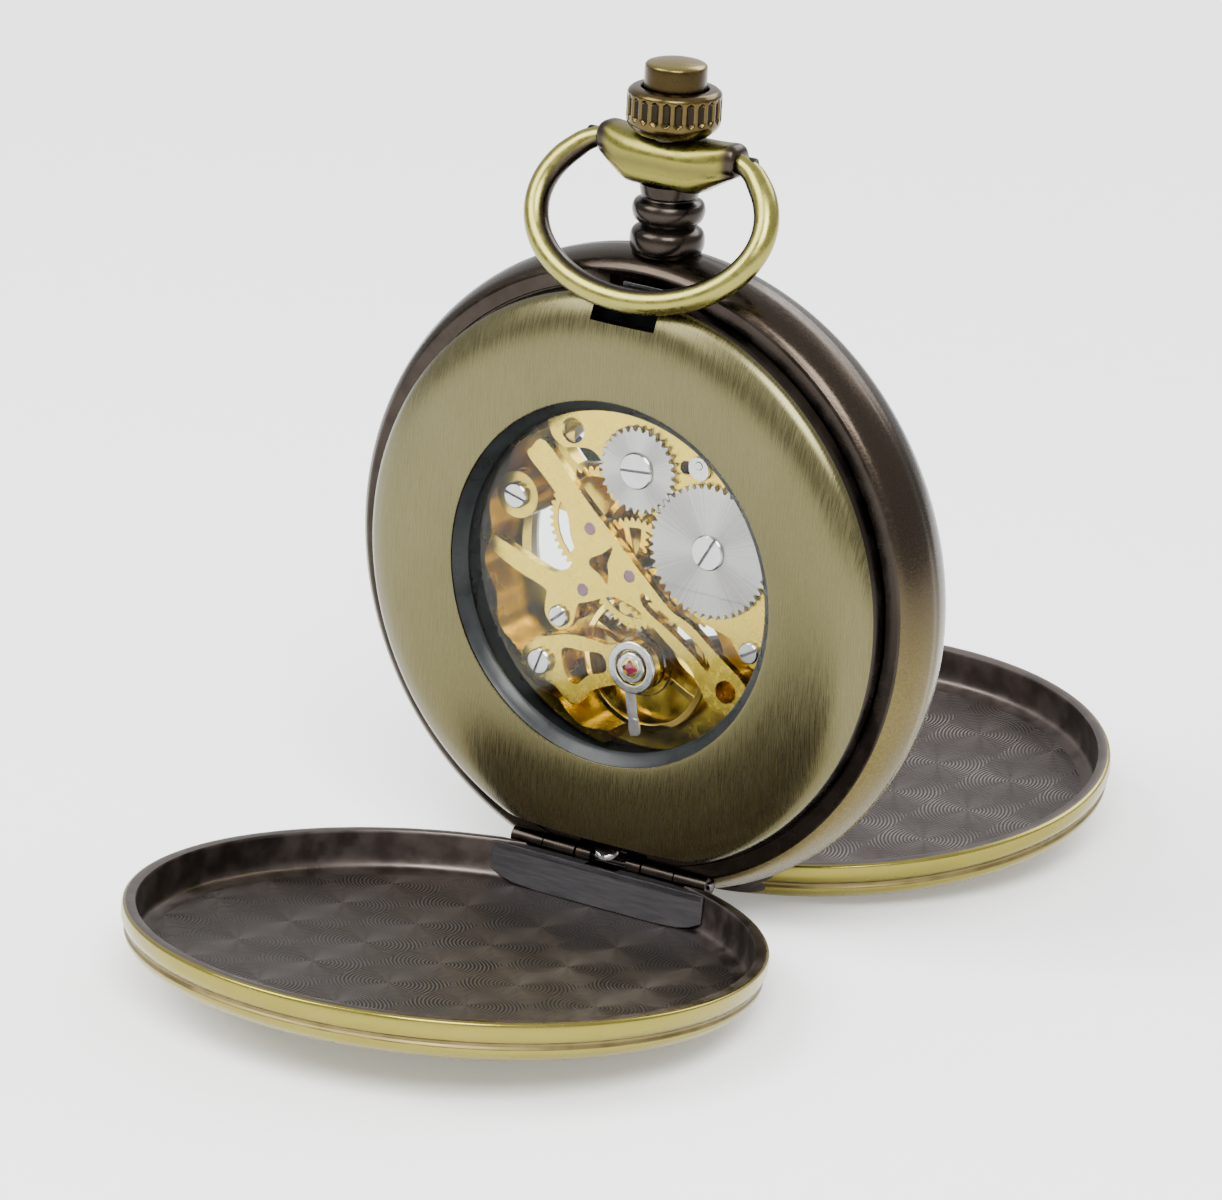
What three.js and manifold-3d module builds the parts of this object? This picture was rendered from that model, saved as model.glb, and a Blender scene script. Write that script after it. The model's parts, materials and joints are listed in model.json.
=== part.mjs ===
// Double-hunter mechanical pocket watch, standing upright on its two open covers.
// Millimetres, +Z up. The watch axis lies along Y: the movement side faces -Y, the dial side +Y.
// Shapes are built about the case centre, then the whole group is lifted so that Z = 0 is the table.
import * as THREE from 'three';
import { mergeVertices } from 'three/addons/utils/BufferGeometryUtils.js';
import Module from 'manifold-3d';

const wasm = await Module();
wasm.setup();

// ---------------------------------------------------------------- driving dimensions
const CASE_R = 23.7;              // largest radius of the convex band
const MATE_Y = 3.1;               // distance of each cover's mating plane from the case centre
const LEDGE_Y = 3.0;              // half thickness of the band, where the bezels sit
const LEDGE_R = 22.45;            // outer radius of the bezel ledge
const CASE_BORE_R = 20.45;
const BEZEL_R = 21.2;
const BACK_WINDOW_R = 13.43;
const FRONT_WINDOW_R = 17.0;
const COVER_R = 22.57;
const COVER_DEPTH = 3.85;
const COVER_FLAT_R = 14;          // flat disc in the middle of a cover's outer face
const COVER_CHORD_Z = -20.5;      // covers end here, above the hinge axis
const BEZEL_CHORD_Z = -19.3;
const HINGE_Y = 2.99;
const HINGE_Z = -21.43;
const HINGE_R = 0.75;
const HINGE_HALF = 8.3;           // half length of the hinge
const PIN_R = 0.3;
const COVER_OPEN = THREE.MathUtils.degToRad(85.4);
const CENTRE_HEIGHT = 24.933;     // case centre above the table when it stands on its covers

const PIVOT_Z = 30.84;            // bow pivot axis
const BOW_TILT = THREE.MathUtils.degToRad(29.6);
const BOW_HALF_WIDTH = 9.27;      // tube centre line
const BOW_HALF_HEIGHT = 6.37;
const BOW_DROP = 4.91;            // oval centre below the pivot
const BOW_TUBE_R = 0.9;
const CROWN_R = 3.35;
const CROWN_BOTTOM_Z = 32.2;
const CROWN_TOP_Z = 35.3;
const CROWN_FLUTES = 24;
const BUTTON_R = 2.22;
const BUTTON_TRAVEL = 1.2;
const STEM_R = 0.5;

const LATHE_STEPS = 40;
const FINE_STEPS = 16;
const SCREW_STEPS = 10;

// movement: positions are [x, z] from the case centre, levels are y ranges, back to front
const CENTRE = [0, 0];
const CROWN_WHEEL = [0.2, 7.9];
const BARREL = [6.45, 3.15];
const THIRD = [-3.5, 2.8];
const FOURTH = [-3.85, -1.85];
const ESCAPE = [-2.9, -3.9];
const PALLET = [-1.0, -3.8];
const BALANCE = [0.65, -6.7];
const MINUTE_WHEEL = [2.6, -1.866];
const UPPER_SCREW = [-10.0, 3.9];
const MIDDLE_SCREW = [-5.7, -4.2];
const COCK_SCREW = [-7.1, -7.9];
const BRIDGE_SCREW = [10.15, -3.55];
const MOVEMENT_R = 13.5;
const RING_BORE_R = 13.95;
const PLATE_FRONT = 1.2;
const BRIDGE_TOP = -2.7;
const BRIDGE_UNDER = -2.0;
const BARREL_BRIDGE_TOP = -2.3;
const BARREL_BRIDGE_UNDER = -1.9;
const DIAL_R = 18.2;
const DIAL_BORE_R = 11.0;
const BALANCE_R = 5.15;

// ---------------------------------------------------------------- materials
const finish = (color, roughness, metalness) => ({ color, roughness, metalness });
const BRONZE = finish(0x9c9468, 0.38, 1);
const DARK_BRONZE = finish(0x2c2626, 0.35, 1);
const BLACK_PLASTIC = finish(0x161718, 0.4, 0);
const GLASS = { color: 0xe8f0f0, roughness: 0.05, metalness: 0, transparent: true, opacity: 0.3 };
const GILT = finish(0xd8b860, 0.28, 1);
const STEEL = finish(0xb9b7b2, 0.3, 1);
const RUBY = finish(0x8c1030, 0.1, 0);
const DIAL_WHITE = finish(0xf1efe8, 0.5, 0);
const BLUED_STEEL = finish(0x1c2a55, 0.3, 1);

// ---------------------------------------------------------------- geometry helpers
function signedVolume(geometry) {
  const flat = geometry.index ? geometry.toNonIndexed() : geometry;
  const p = flat.getAttribute('position');
  const [a, b, c] = [new THREE.Vector3(), new THREE.Vector3(), new THREE.Vector3()];
  let sum = 0;
  for (let i = 0; i < p.count; i += 3) {
    a.fromBufferAttribute(p, i);
    b.fromBufferAttribute(p, i + 1);
    c.fromBufferAttribute(p, i + 2);
    sum += a.dot(b.cross(c));
  }
  return sum / 6;
}

// merge the shared vertices and turn the faces outward
function clean(geometry) {
  let g = geometry.clone();
  g.deleteAttribute('normal');
  g.deleteAttribute('uv');
  g = mergeVertices(g, 1e-4);
  const kept = [];
  const index = g.index.array;
  for (let i = 0; i < index.length; i += 3) {
    const [a, b, c] = [index[i], index[i + 1], index[i + 2]];
    if (a !== b && b !== c && c !== a) kept.push(a, b, c);
  }
  g.setIndex(kept);
  if (signedVolume(g) < 0) {
    for (let i = 0; i < kept.length; i += 3) [kept[i + 1], kept[i + 2]] = [kept[i + 2], kept[i + 1]];
    g.setIndex(kept);
  }
  return g;
}

function toSolid(geometry) {
  const g = clean(geometry);
  return new wasm.Manifold(new wasm.Mesh({
    numProp: 3,
    vertProperties: new Float32Array(g.getAttribute('position').array),
    triVerts: new Uint32Array(g.index.array),
  }));
}

function fromSolid(solid) {
  const mesh = solid.getMesh();
  const g = new THREE.BufferGeometry();
  const points = new Float32Array(mesh.numVert * 3);
  for (let i = 0; i < mesh.numVert; i++) {
    for (let k = 0; k < 3; k++) points[i * 3 + k] = mesh.vertProperties[i * mesh.numProp + k];
  }
  g.setAttribute('position', new THREE.BufferAttribute(points, 3));
  g.setIndex(Array.from(mesh.triVerts));
  return g;
}

const join = (...parts) => fromSolid(parts.map(toSolid).reduce((a, b) => a.add(b)));
const cut = (body, ...tools) => fromSolid(tools.map(toSolid).reduce((a, b) => a.subtract(b), toSolid(body)));
const overlapOf = (a, b) => fromSolid(toSolid(a).intersect(toSolid(b)));

// a ring or disc turned about the watch axis: points are [radius, y]
function turned(points, steps = LATHE_STEPS) {
  return clean(new THREE.LatheGeometry(points.map(([r, y]) => new THREE.Vector2(r, y)), steps));
}
const ring = (inner, outer, y0, y1, steps = LATHE_STEPS) =>
  turned([[inner, y0], [outer, y0], [outer, y1], [inner, y1], [inner, y0]], steps);
const disc = (radius, y0, y1, steps = LATHE_STEPS) =>
  turned([[0, y0], [radius, y0], [radius, y1], [0, y1]], steps);
const at = (geometry, [x, z]) => geometry.translate(x, 0, z);

// a piece turned about a vertical axis: points are [radius, z]
const turnedUpright = (points, steps = FINE_STEPS) => turned(points, steps).rotateX(Math.PI / 2);

// outlines run anticlockwise and holes clockwise, however their points are listed
function orderedPoints(points, clockwise) {
  const list = points.map(([x, z]) => new THREE.Vector2(x, z));
  return THREE.ShapeUtils.isClockWise(list) === clockwise ? list : list.reverse();
}
const shapeOf = (points) => new THREE.Shape(orderedPoints(points, false));

function circlePoints(radius, [x, z] = [0, 0], steps = 12, start = 0) {
  const points = [];
  for (let i = 0; i < steps; i++) {
    const a = start + (i / steps) * 2 * Math.PI;
    points.push([x + radius * Math.cos(a), z + radius * Math.sin(a)]);
  }
  return points;
}

// a flat plate in the XZ plane between two y levels, with holes given as point lists
function plate(points, y0, y1, holes = []) {
  const shape = shapeOf(points);
  for (const hole of holes) shape.holes.push(new THREE.Path(orderedPoints(hole, true)));
  const g = new THREE.ExtrudeGeometry(shape, { depth: y1 - y0, bevelEnabled: false, curveSegments: 1 });
  return clean(g.rotateX(Math.PI / 2).translate(0, y1, 0));
}

const box = (x0, x1, y0, y1, z0, z1) =>
  new THREE.BoxGeometry(x1 - x0, y1 - y0, z1 - z0).translate((x0 + x1) / 2, (y0 + y1) / 2, (z0 + z1) / 2);

// a cylinder along X
function rodX(radius, x0, x1, y, z, steps = 16) {
  return new THREE.CylinderGeometry(radius, radius, x1 - x0, steps)
    .rotateZ(Math.PI / 2).translate((x0 + x1) / 2, y, z);
}
// a cylinder along Z
function rodZ(radius, z0, z1, steps = 12) {
  return new THREE.CylinderGeometry(radius, radius, z1 - z0, steps)
    .rotateX(Math.PI / 2).translate(0, 0, (z0 + z1) / 2);
}

// an arc of points round [x, z]
function arc(radius, fromDeg, toDeg, steps, [x, z] = [0, 0]) {
  const points = [];
  for (let i = 0; i <= steps; i++) {
    const a = THREE.MathUtils.degToRad(fromDeg + ((toDeg - fromDeg) * i) / steps);
    points.push([x + radius * Math.cos(a), z + radius * Math.sin(a)]);
  }
  return points;
}

// ---------------------------------------------------------------- gears
const distance = (a, b) => Math.hypot(b[0] - a[0], b[1] - a[1]);
// a gear is its centre, tooth count, module and the angle of one tooth
const gear = (centre, teeth, module, phase = 0) => ({ centre, teeth, module, phase, r: (teeth * module) / 2 });
const moduleFor = (a, b, teethA, teethB) => (2 * distance(a, b)) / (teethA + teethB);

// the gear at a centre that meshes with another one at rest
function meshed(driver, centre, teeth) {
  const line = Math.atan2(centre[1] - driver.centre[1], centre[0] - driver.centre[0]);
  const part = ((line - driver.phase) * driver.teeth) / (2 * Math.PI);
  const phase = line + Math.PI - ((2 * Math.PI) / teeth) * (0.5 - part);
  return gear(centre, teeth, (2 * distance(driver.centre, centre)) / (driver.teeth + teeth), phase);
}

// tooth outline: pointed teeth are two points each, flat-topped teeth four
function toothPoints(g, flatTopped = false) {
  const tip = g.r + 0.75 * g.module;
  const root = g.r - 1.0 * g.module;
  const pitch = (2 * Math.PI) / g.teeth;
  const pattern = flatTopped
    ? [[root, -0.3], [tip, -0.12], [tip, 0.12], [root, 0.3]]
    : [[root, -0.5], [tip, 0]];
  const points = [];
  for (let i = 0; i < g.teeth; i++) {
    for (const [r, k] of pattern) {
      const a = g.phase + (i + k) * pitch;
      points.push([g.centre[0] + r * Math.cos(a), g.centre[1] + r * Math.sin(a)]);
    }
  }
  return points;
}

// openings between the spokes of a wheel
function spokeHoles(centre, inner, outer, count, spokeWidth, start = 0) {
  const holes = [];
  const edge = (r, sign, mid) => mid + sign * (Math.PI / count - spokeWidth / 2 / r);
  for (let i = 0; i < count; i++) {
    const mid = start + (2 * Math.PI * (i + 0.5)) / count;
    const hole = [];
    for (const k of [-1, -0.33, 0.33, 1]) hole.push([outer, mid + k * (edge(outer, 1, mid) - mid)]);
    for (const k of [1, 0, -1]) hole.push([inner, mid + k * (edge(inner, 1, mid) - mid)]);
    holes.push(hole.map(([r, a]) => [centre[0] + r * Math.cos(a), centre[1] + r * Math.sin(a)]));
  }
  return holes;
}

const wheelPlate = (g, y0, y1, holes = [], flatTopped = false) => plate(toothPoints(g, flatTopped), y0, y1, holes);
// arbor: [radius, y] steps turned about the wheel's own centre
const arbor = (centre, points) => at(turned(points, 8), centre);

const ratchetModule = moduleFor(CROWN_WHEEL, BARREL, 30, 47);
const crownGear = gear(CROWN_WHEEL, 30, ratchetModule, 0.1);
const ratchetGear = meshed(crownGear, BARREL, 47);
const centrePinion = gear(CENTRE, 10, moduleFor(CENTRE, BARREL, 10, 50));
const barrelGear = meshed(centrePinion, BARREL, 50);
const centreGear = gear(CENTRE, 48, moduleFor(CENTRE, THIRD, 48, 6));
const thirdPinion = meshed(centreGear, THIRD, 6);
const thirdGear = gear(THIRD, 45, moduleFor(THIRD, FOURTH, 45, 6));
const fourthPinion = meshed(thirdGear, FOURTH, 6);
const fourthGear = gear(FOURTH, 48, moduleFor(FOURTH, ESCAPE, 48, 6));
const escapePinion = meshed(fourthGear, ESCAPE, 6);
const cannonGear = gear(CENTRE, 8, moduleFor(CENTRE, MINUTE_WHEEL, 8, 24));
const minuteGear = meshed(cannonGear, MINUTE_WHEEL, 24);
const hourGear = gear(CENTRE, 32, moduleFor(CENTRE, MINUTE_WHEEL, 32, 8));
const minutePinion = meshed(hourGear, MINUTE_WHEEL, 8);

// ---------------------------------------------------------------- scene graph
const watch = new THREE.Group();
watch.position.z = CENTRE_HEIGHT;

function add(name, geometry, material, parent = watch) {
  const mesh = new THREE.Mesh(geometry, new THREE.MeshStandardMaterial(material));
  mesh.name = name;
  parent.add(mesh);
  return mesh;
}

// a group turned about a line along X through [y, z]; its children keep case-centre coordinates
function hingedGroup(y, z, angle) {
  const pivot = new THREE.Group();
  pivot.position.set(0, y, z);
  pivot.rotation.x = angle;
  const inner = new THREE.Group();
  inner.position.set(0, -y, -z);
  pivot.add(inner);
  watch.add(pivot);
  return inner;
}

// ---------------------------------------------------------------- case
function hingeBarrels(side) {
  const y = side * HINGE_Y;
  return [rodX(HINGE_R, -HINGE_HALF, -2.9, y, HINGE_Z), rodX(HINGE_R, 2.9, HINGE_HALF, y, HINGE_Z)];
}

function midCase() {
  const band = turned([
    [CASE_BORE_R, -LEDGE_Y], [LEDGE_R, -LEDGE_Y], [23.15, -2.3], [23.55, -1.2], [CASE_R, 0],
    [23.55, 1.2], [23.15, 2.3], [LEDGE_R, LEDGE_Y], [CASE_BORE_R, LEDGE_Y], [CASE_BORE_R, -LEDGE_Y],
  ]);
  const knuckleRoom = (side) => rodX(HINGE_R + 0.25, -2.85, 2.85, side * HINGE_Y, HINGE_Z);
  const pinHole = (side) => rodX(PIN_R + 0.04, -9, 9, side * HINGE_Y, HINGE_Z, 12);
  const springRoom = (side) => box(-1.3, 1.3, side < 0 ? -3.1 : 1.4, side < 0 ? -1.4 : 3.1, -21.5, -19.5);
  const body = cut(band, ...[-1, 1].map(knuckleRoom), ...[-1, 1].map(springRoom));
  const withBarrels = join(body, ...hingeBarrels(-1), ...hingeBarrels(1));
  const pendantSeat = turnedUpright([[0, 23.2], [2.8, 23.2], [2.8, 24.5], [0, 24.5]], FINE_STEPS);
  const catchSlot = box(-2.7, 2.7, -3.2, -1.5, 20.3, 21.9);
  const catchSlotFront = box(-2.7, 2.7, 1.5, 3.2, 20.3, 21.9);
  return cut(withBarrels, pinHole(-1), pinHole(1), pendantSeat, rodZ(0.7, 19, 25), catchSlot, catchSlotFront);
}

// bezel profile for the movement side; the dial side mirrors it with a wider window
function bezel(profile, side) {
  const body = turned(profile.map(([r, y]) => [r, side * y]));
  const notch = box(-2.7, 2.7, side < 0 ? -5.6 : 2.9, side < 0 ? -2.9 : 5.6, 19.0, 22);
  const chord = box(-12, 12, side < 0 ? -6 : 2.9, side < 0 ? -2.9 : 6, -23, BEZEL_CHORD_Z);
  return cut(body, notch, chord);
}
const SHOULDER = [[20.3, 5.0], [20.9, 4.5], [21.0, 4.3], [BEZEL_R, 3.05], [20.3, 3.05]];
const BACK_BEZEL = [
  [BACK_WINDOW_R, 5.6], [15.4, 5.75], [17.6, 5.72], [19.2, 5.48], ...SHOULDER,
  [20.0, 4.1], [18.6, 4.9], [14.3, 5.0], [14.3, 3.7], [BACK_WINDOW_R, 3.7], [BACK_WINDOW_R, 5.6],
];
const FRONT_BEZEL = [
  [FRONT_WINDOW_R, 5.5], [18.4, 5.62], [19.5, 5.4], ...SHOULDER,
  [20.1, 4.0], [19.0, 4.75], [17.8, 4.75], [17.8, 3.7], [FRONT_WINDOW_R, 3.7], [FRONT_WINDOW_R, 5.5],
];

function gasket(windowR, side) {
  const r = windowR - 0.05;
  const profile = [[r, 5.45], [r, 4.6], [r - 0.95, 4.6], [r - 0.8, 4.95], [r - 0.3, 5.1], [r, 5.45]];
  return turned(profile.map(([radius, y]) => [radius, side * y]));
}

add('mid_case', midCase(), DARK_BRONZE);
add('back_bezel', bezel(BACK_BEZEL, -1), BRONZE);
add('front_bezel', bezel(FRONT_BEZEL, 1), BRONZE);
add('back_gasket', gasket(BACK_WINDOW_R, -1), BLACK_PLASTIC);
add('front_gasket', gasket(FRONT_WINDOW_R, 1), BLACK_PLASTIC);
add('back_crystal', disc(BACK_WINDOW_R - 0.07, -4.55, -3.85), GLASS);
add('front_crystal', disc(FRONT_WINDOW_R - 0.07, 3.85, 4.55), GLASS);

// plastic ring that centres the movement; its thinner collar hides the gap under the bezel
const movementRing = turned([
  [RING_BORE_R, -3.6], [17.0, -3.6], [17.0, -1.9], [CASE_BORE_R - 0.1, -1.9],
  [CASE_BORE_R - 0.1, 2.0], [RING_BORE_R, 2.0], [RING_BORE_R, -3.6],
]);
add('movement_ring', cut(movementRing, box(-0.8, 0.8, -0.8, 0.8, 12, 21)), BLACK_PLASTIC);

// ---------------------------------------------------------------- covers
const COVER_PROFILE = [
  [0, 3.25], [COVER_FLAT_R, 3.25], [20.5, 3.0], [21.55, 2.4], [21.55, 0], [COVER_R, 0], [COVER_R, 1.35],
  [22.2, 1.5], [22.35, 1.75], [22.0, 2.5], [21.0, 3.15], [19.0, 3.6], [COVER_FLAT_R, COVER_DEPTH], [0, COVER_DEPTH],
];

function cover(side) {
  const shell = turned(COVER_PROFILE.map(([r, d]) => [r, side * (MATE_Y + d)]));
  const [near, far] = side < 0 ? [-8, -3] : [3, 8];
  return cut(shell, box(-24, 24, near, far, -24, COVER_CHORD_Z));
}

// a box on one side of the case, between two depths past the cover's mating plane
function sideBox(side, x0, x1, depth0, depth1, z0, z1) {
  const ends = [side * (MATE_Y + depth0), side * (MATE_Y + depth1)];
  return box(x0, x1, Math.min(...ends), Math.max(...ends), z0, z1);
}

// chord plate and the wall that closes the cover's straight side, with the two knuckles that turn on the pin
function hingePlate(side) {
  const inside = turned([
    [0, 3.15], [COVER_FLAT_R, 3.15], [20.45, 2.9], [21.4, 2.33], [21.4, 0.1], [0, 0.1],
  ].map(([r, d]) => [r, side * (MATE_Y + d)]));
  const top = sideBox(side, -8.9, 8.9, 0.1, 0.65, COVER_CHORD_Z, -19.45);
  const wall = sideBox(side, -8.9, 8.9, 0.1, 3.2, -19.8, -19.45);
  const springNotch = sideBox(side, -1.35, 1.35, -0.1, 0.95, -20.6, -19.3);
  const parts = [overlapOf(join(top, wall), inside)];
  const [low, high] = side < 0 ? [-MATE_Y - 0.65, -MATE_Y - 0.1] : [MATE_Y + 0.1, MATE_Y + 0.65];
  for (const sign of [-1, 1]) {
    const [x0, x1] = sign < 0 ? [-2.75, -1.5] : [1.5, 2.75];
    parts.push(rodX(HINGE_R, x0, x1, side * HINGE_Y, HINGE_Z));
    parts.push(box(x0, x1, low, high, HINGE_Z, -20.3));
  }
  return cut(join(...parts), springNotch, rodX(PIN_R + 0.04, -4, 4, side * HINGE_Y, HINGE_Z, 12));
}

// leaf spring that lifts the cover: anchored in the band, it bends out over the chord plate
function liftSpring(side) {
  const underside = [[1.5, -20.95], [2.65, -20.95], [3.15, -20.15], [4.2, -21.05]];
  const topside = [[4.45, -20.8], [3.15, -19.7], [2.45, -20.6], [1.5, -20.6]];
  const profile = [...underside, ...topside].map(([y, z]) => [side * y, z]);
  const leaf = new THREE.ExtrudeGeometry(shapeOf(profile), { depth: 2.1, bevelEnabled: false });
  return clean(leaf.rotateX(Math.PI / 2).rotateZ(Math.PI / 2).translate(-1.05, 0, 0));
}

for (const [name, side] of [['back', -1], ['front', 1]]) {
  const swing = hingedGroup(side * HINGE_Y, HINGE_Z, -side * COVER_OPEN);
  add(`${name}_cover`, cover(side), BRONZE, swing);
  add(`${name}_hinge_plate`, hingePlate(side), DARK_BRONZE, swing);
  add(`${name}_hinge_pin`, rodX(PIN_R, -8.5, 8.5, side * HINGE_Y, HINGE_Z, 12), STEEL);
  add(`${name}_lift_spring`, liftSpring(side), STEEL);
}

// ---------------------------------------------------------------- pendant, bow, crown
function pendant() {
  const neck = turnedUpright([
    [0, 23.25], [2.3, 23.25], [2.62, 23.9], [2.66, 24.4], [2.5, 25.0], [1.95, 25.4],
    [2.45, 25.9], [2.6, 26.5], [2.45, 27.0], [2.0, 27.35], [2.2, 27.7], [2.2, 28.5], [0, 28.5],
  ]);
  const endR = 1.3;
  const halfLength = 5.7;
  const side = [
    [-2.8, 28.15], [2.8, 28.15], [5.0, 29.45], [halfLength, 29.8], [halfLength, 31.7],
    [5.2, PIVOT_Z + endR], [3.6, 32.0], [2.0, 31.9], [-2.0, 31.9], [-3.6, 32.0], [-5.2, PIVOT_Z + endR],
    [-halfLength, 31.7], [-halfLength, 29.8], [-5.0, 29.45],
  ];
  const plan = [
    [-halfLength, -1.2], [-4.6, -1.7], [-2.4, -2.2], [2.4, -2.2], [4.6, -1.7], [halfLength, -1.2],
    [halfLength, 1.2], [4.6, 1.7], [2.4, 2.2], [-2.4, 2.2], [-4.6, 1.7], [-halfLength, 1.2],
  ];
  const sideBlock = plate(side, -3, 3);
  const planBlock = clean(new THREE.ExtrudeGeometry(shapeOf(plan), { depth: 8, bevelEnabled: false })
    .translate(0, 0, 26));
  const tube = turnedUpright([[0, 30], [1.6, 30], [1.6, 32.0], [0, 32.0]]);
  const pinHole = rodX(0.68, -6, 6, 0, PIVOT_Z, 12);
  const web = box(-4.0, 4.0, -1.0, 1.0, 30, 31.2);
  const body = join(neck, overlapOf(sideBlock, planBlock), tube);
  const holes = overlapOf(pinHole, join(box(-6, -4.1, -2, 2, 29, 33), box(4.1, 6, -2, 2, 29, 33)));
  return cut(join(body, web), holes, rodZ(STEM_R + 0.12, 22, 33));
}
add('pendant', pendant(), DARK_BRONZE);

// the pins turn in the pendant's ears and carry the bow
const bowSwing = hingedGroup(0, PIVOT_Z, -BOW_TILT);
const BOW_PIN_R = 0.55;
for (const [name, x0, x1] of [['bow_pin_left', -6.95, -4.3], ['bow_pin_right', 4.3, 6.95]]) {
  add(name, rodX(BOW_PIN_R, x0, x1, 0, PIVOT_Z, 12), DARK_BRONZE, bowSwing);
}

function bow() {
  const points = [[6.05, 0], [6.6, 0.12], [7.25, 0.65]];
  for (let deg = -38; deg <= 90; deg += 16) {
    const a = THREE.MathUtils.degToRad(deg);
    points.push([BOW_HALF_WIDTH * Math.cos(a), BOW_DROP + BOW_HALF_HEIGHT * Math.sin(a)]);
  }
  const right = points.map(([x, v]) => new THREE.Vector3(x, 0, PIVOT_Z - v));
  const left = right.slice(0, -1).map((p) => new THREE.Vector3(-p.x, 0, p.z)).reverse();
  const path = new THREE.CatmullRomCurve3([...right, ...left], false, 'centripetal');
  const section = shapeOf(circlePoints(BOW_TUBE_R, [0, 0], 8, Math.PI / 8));
  const tube = new THREE.ExtrudeGeometry(section, { steps: 28, bevelEnabled: false, extrudePath: path });
  const sockets = [rodX(BOW_PIN_R + 0.05, -7.1, -5, 0, PIVOT_Z, 12), rodX(BOW_PIN_R + 0.05, 5, 7.1, 0, PIVOT_Z, 12)];
  return cut(tube, ...sockets);
}
add('bow', bow(), BRONZE, bowSwing);

function crown() {
  const star = [];
  for (let i = 0; i < CROWN_FLUTES * 2; i++) {
    const r = i % 2 === 0 ? CROWN_R : CROWN_R - 0.3;
    const a = (i * Math.PI) / CROWN_FLUTES;
    star.push([r * Math.cos(a), r * Math.sin(a)]);
  }
  const fluted = clean(new THREE.ExtrudeGeometry(shapeOf(star), { depth: 3.2, bevelEnabled: false })
    .translate(0, 0, CROWN_BOTTOM_Z - 0.05));
  const limit = turnedUpright([
    [0, CROWN_BOTTOM_Z], [2.6, CROWN_BOTTOM_Z], [CROWN_R, 33.0],
    [CROWN_R, 34.7], [2.95, CROWN_TOP_Z], [0, CROWN_TOP_Z],
  ]);
  const recess = rodZ(BUTTON_R + 0.12, 33.1, 36, 24);
  return cut(overlapOf(fluted, limit), recess, rodZ(STEM_R + 0.05, 32, 34));
}
add('crown', crown(), BRONZE);
add('stem', rodZ(STEM_R, 8.2, 33.0), STEEL);
add('push_button', turnedUpright([
  [0, 34.4], [BUTTON_R, 34.4], [BUTTON_R, 36.85], [2.0, 37.05], [1.2, 37.25], [0, 37.35],
]), BRONZE);

// spring catches that hold the covers shut; the button draws them in
for (const [name, side] of [['back_catch', -1], ['front_catch', 1]]) {
  const foot = box(-1.7, 1.7, side < 0 ? -2.9 : 1.7, side < 0 ? -1.7 : 2.9, 20.9, 21.5);
  const hook = box(-1.3, 1.3, side < 0 ? -4.1 : 2.5, side < 0 ? -2.5 : 4.1, 20.75, 21.4);
  add(name, join(foot, hook), STEEL);
}

// ---------------------------------------------------------------- movement plates and bridges
const pivotHole = (centre, radius = 0.28) => circlePoints(radius, centre, 8);

function mainPlate() {
  const leftWindow = [...arc(10.9, 164, 196, 4), [-7.0, -2.6], [-6.2, -0.9], [-6.6, 1.2], [-7.0, 2.6]];
  const slotWindow = [[1.9, -4.4], [3.4, -3.0], [5.6, -3.4], [6.6, -5.6], [5.4, -7.6], [3.0, -6.6]];
  const upperWindow = [[-6.5, 6.4], [-3.2, 7.6], [-2.6, 9.4], [-5.0, 9.8], [-7.6, 8.4]];
  const holes = [
    leftWindow, slotWindow, upperWindow,
    pivotHole(CENTRE, 0.5), pivotHole(THIRD), pivotHole(FOURTH, 0.35), pivotHole(ESCAPE),
    pivotHole(PALLET), pivotHole([BALANCE[0], BALANCE[1]]),
  ];
  const flat = plate(circlePoints(MOVEMENT_R, [0, 0], LATHE_STEPS), 0, PLATE_FRONT, holes);
  const upperPost = at(disc(1.75, BARREL_BRIDGE_TOP, 0.2, 16), UPPER_SCREW);
  const middlePost = at(disc(0.85, BRIDGE_UNDER + 0.05, 0.2, 12), MIDDLE_SCREW);
  const lowerPost = at(disc(0.85, BARREL_BRIDGE_UNDER + 0.05, 0.2, 12), BRIDGE_SCREW);
  const tapped = [UPPER_SCREW, MIDDLE_SCREW, BRIDGE_SCREW].map((centre) => at(disc(0.5, -3, -1.2, SCREW_STEPS), centre));
  const raisedWall = plate([...arc(13.4, 135, 262, 16), ...arc(12.4, 262, 135, 16)], -1.8, 0.2);
  const body = cut(join(flat, upperPost, middlePost, lowerPost, raisedWall), ...tapped);
  const stemChannel = box(-0.75, 0.75, -1, 0.8, 7.9, 14);
  const pinionRoom = box(-1.95, 1.95, -1, 1.9, 9.5, 11.3);
  return cut(body, stemChannel, pinionRoom);
}
add('main_plate', mainPlate(), GILT);

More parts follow.
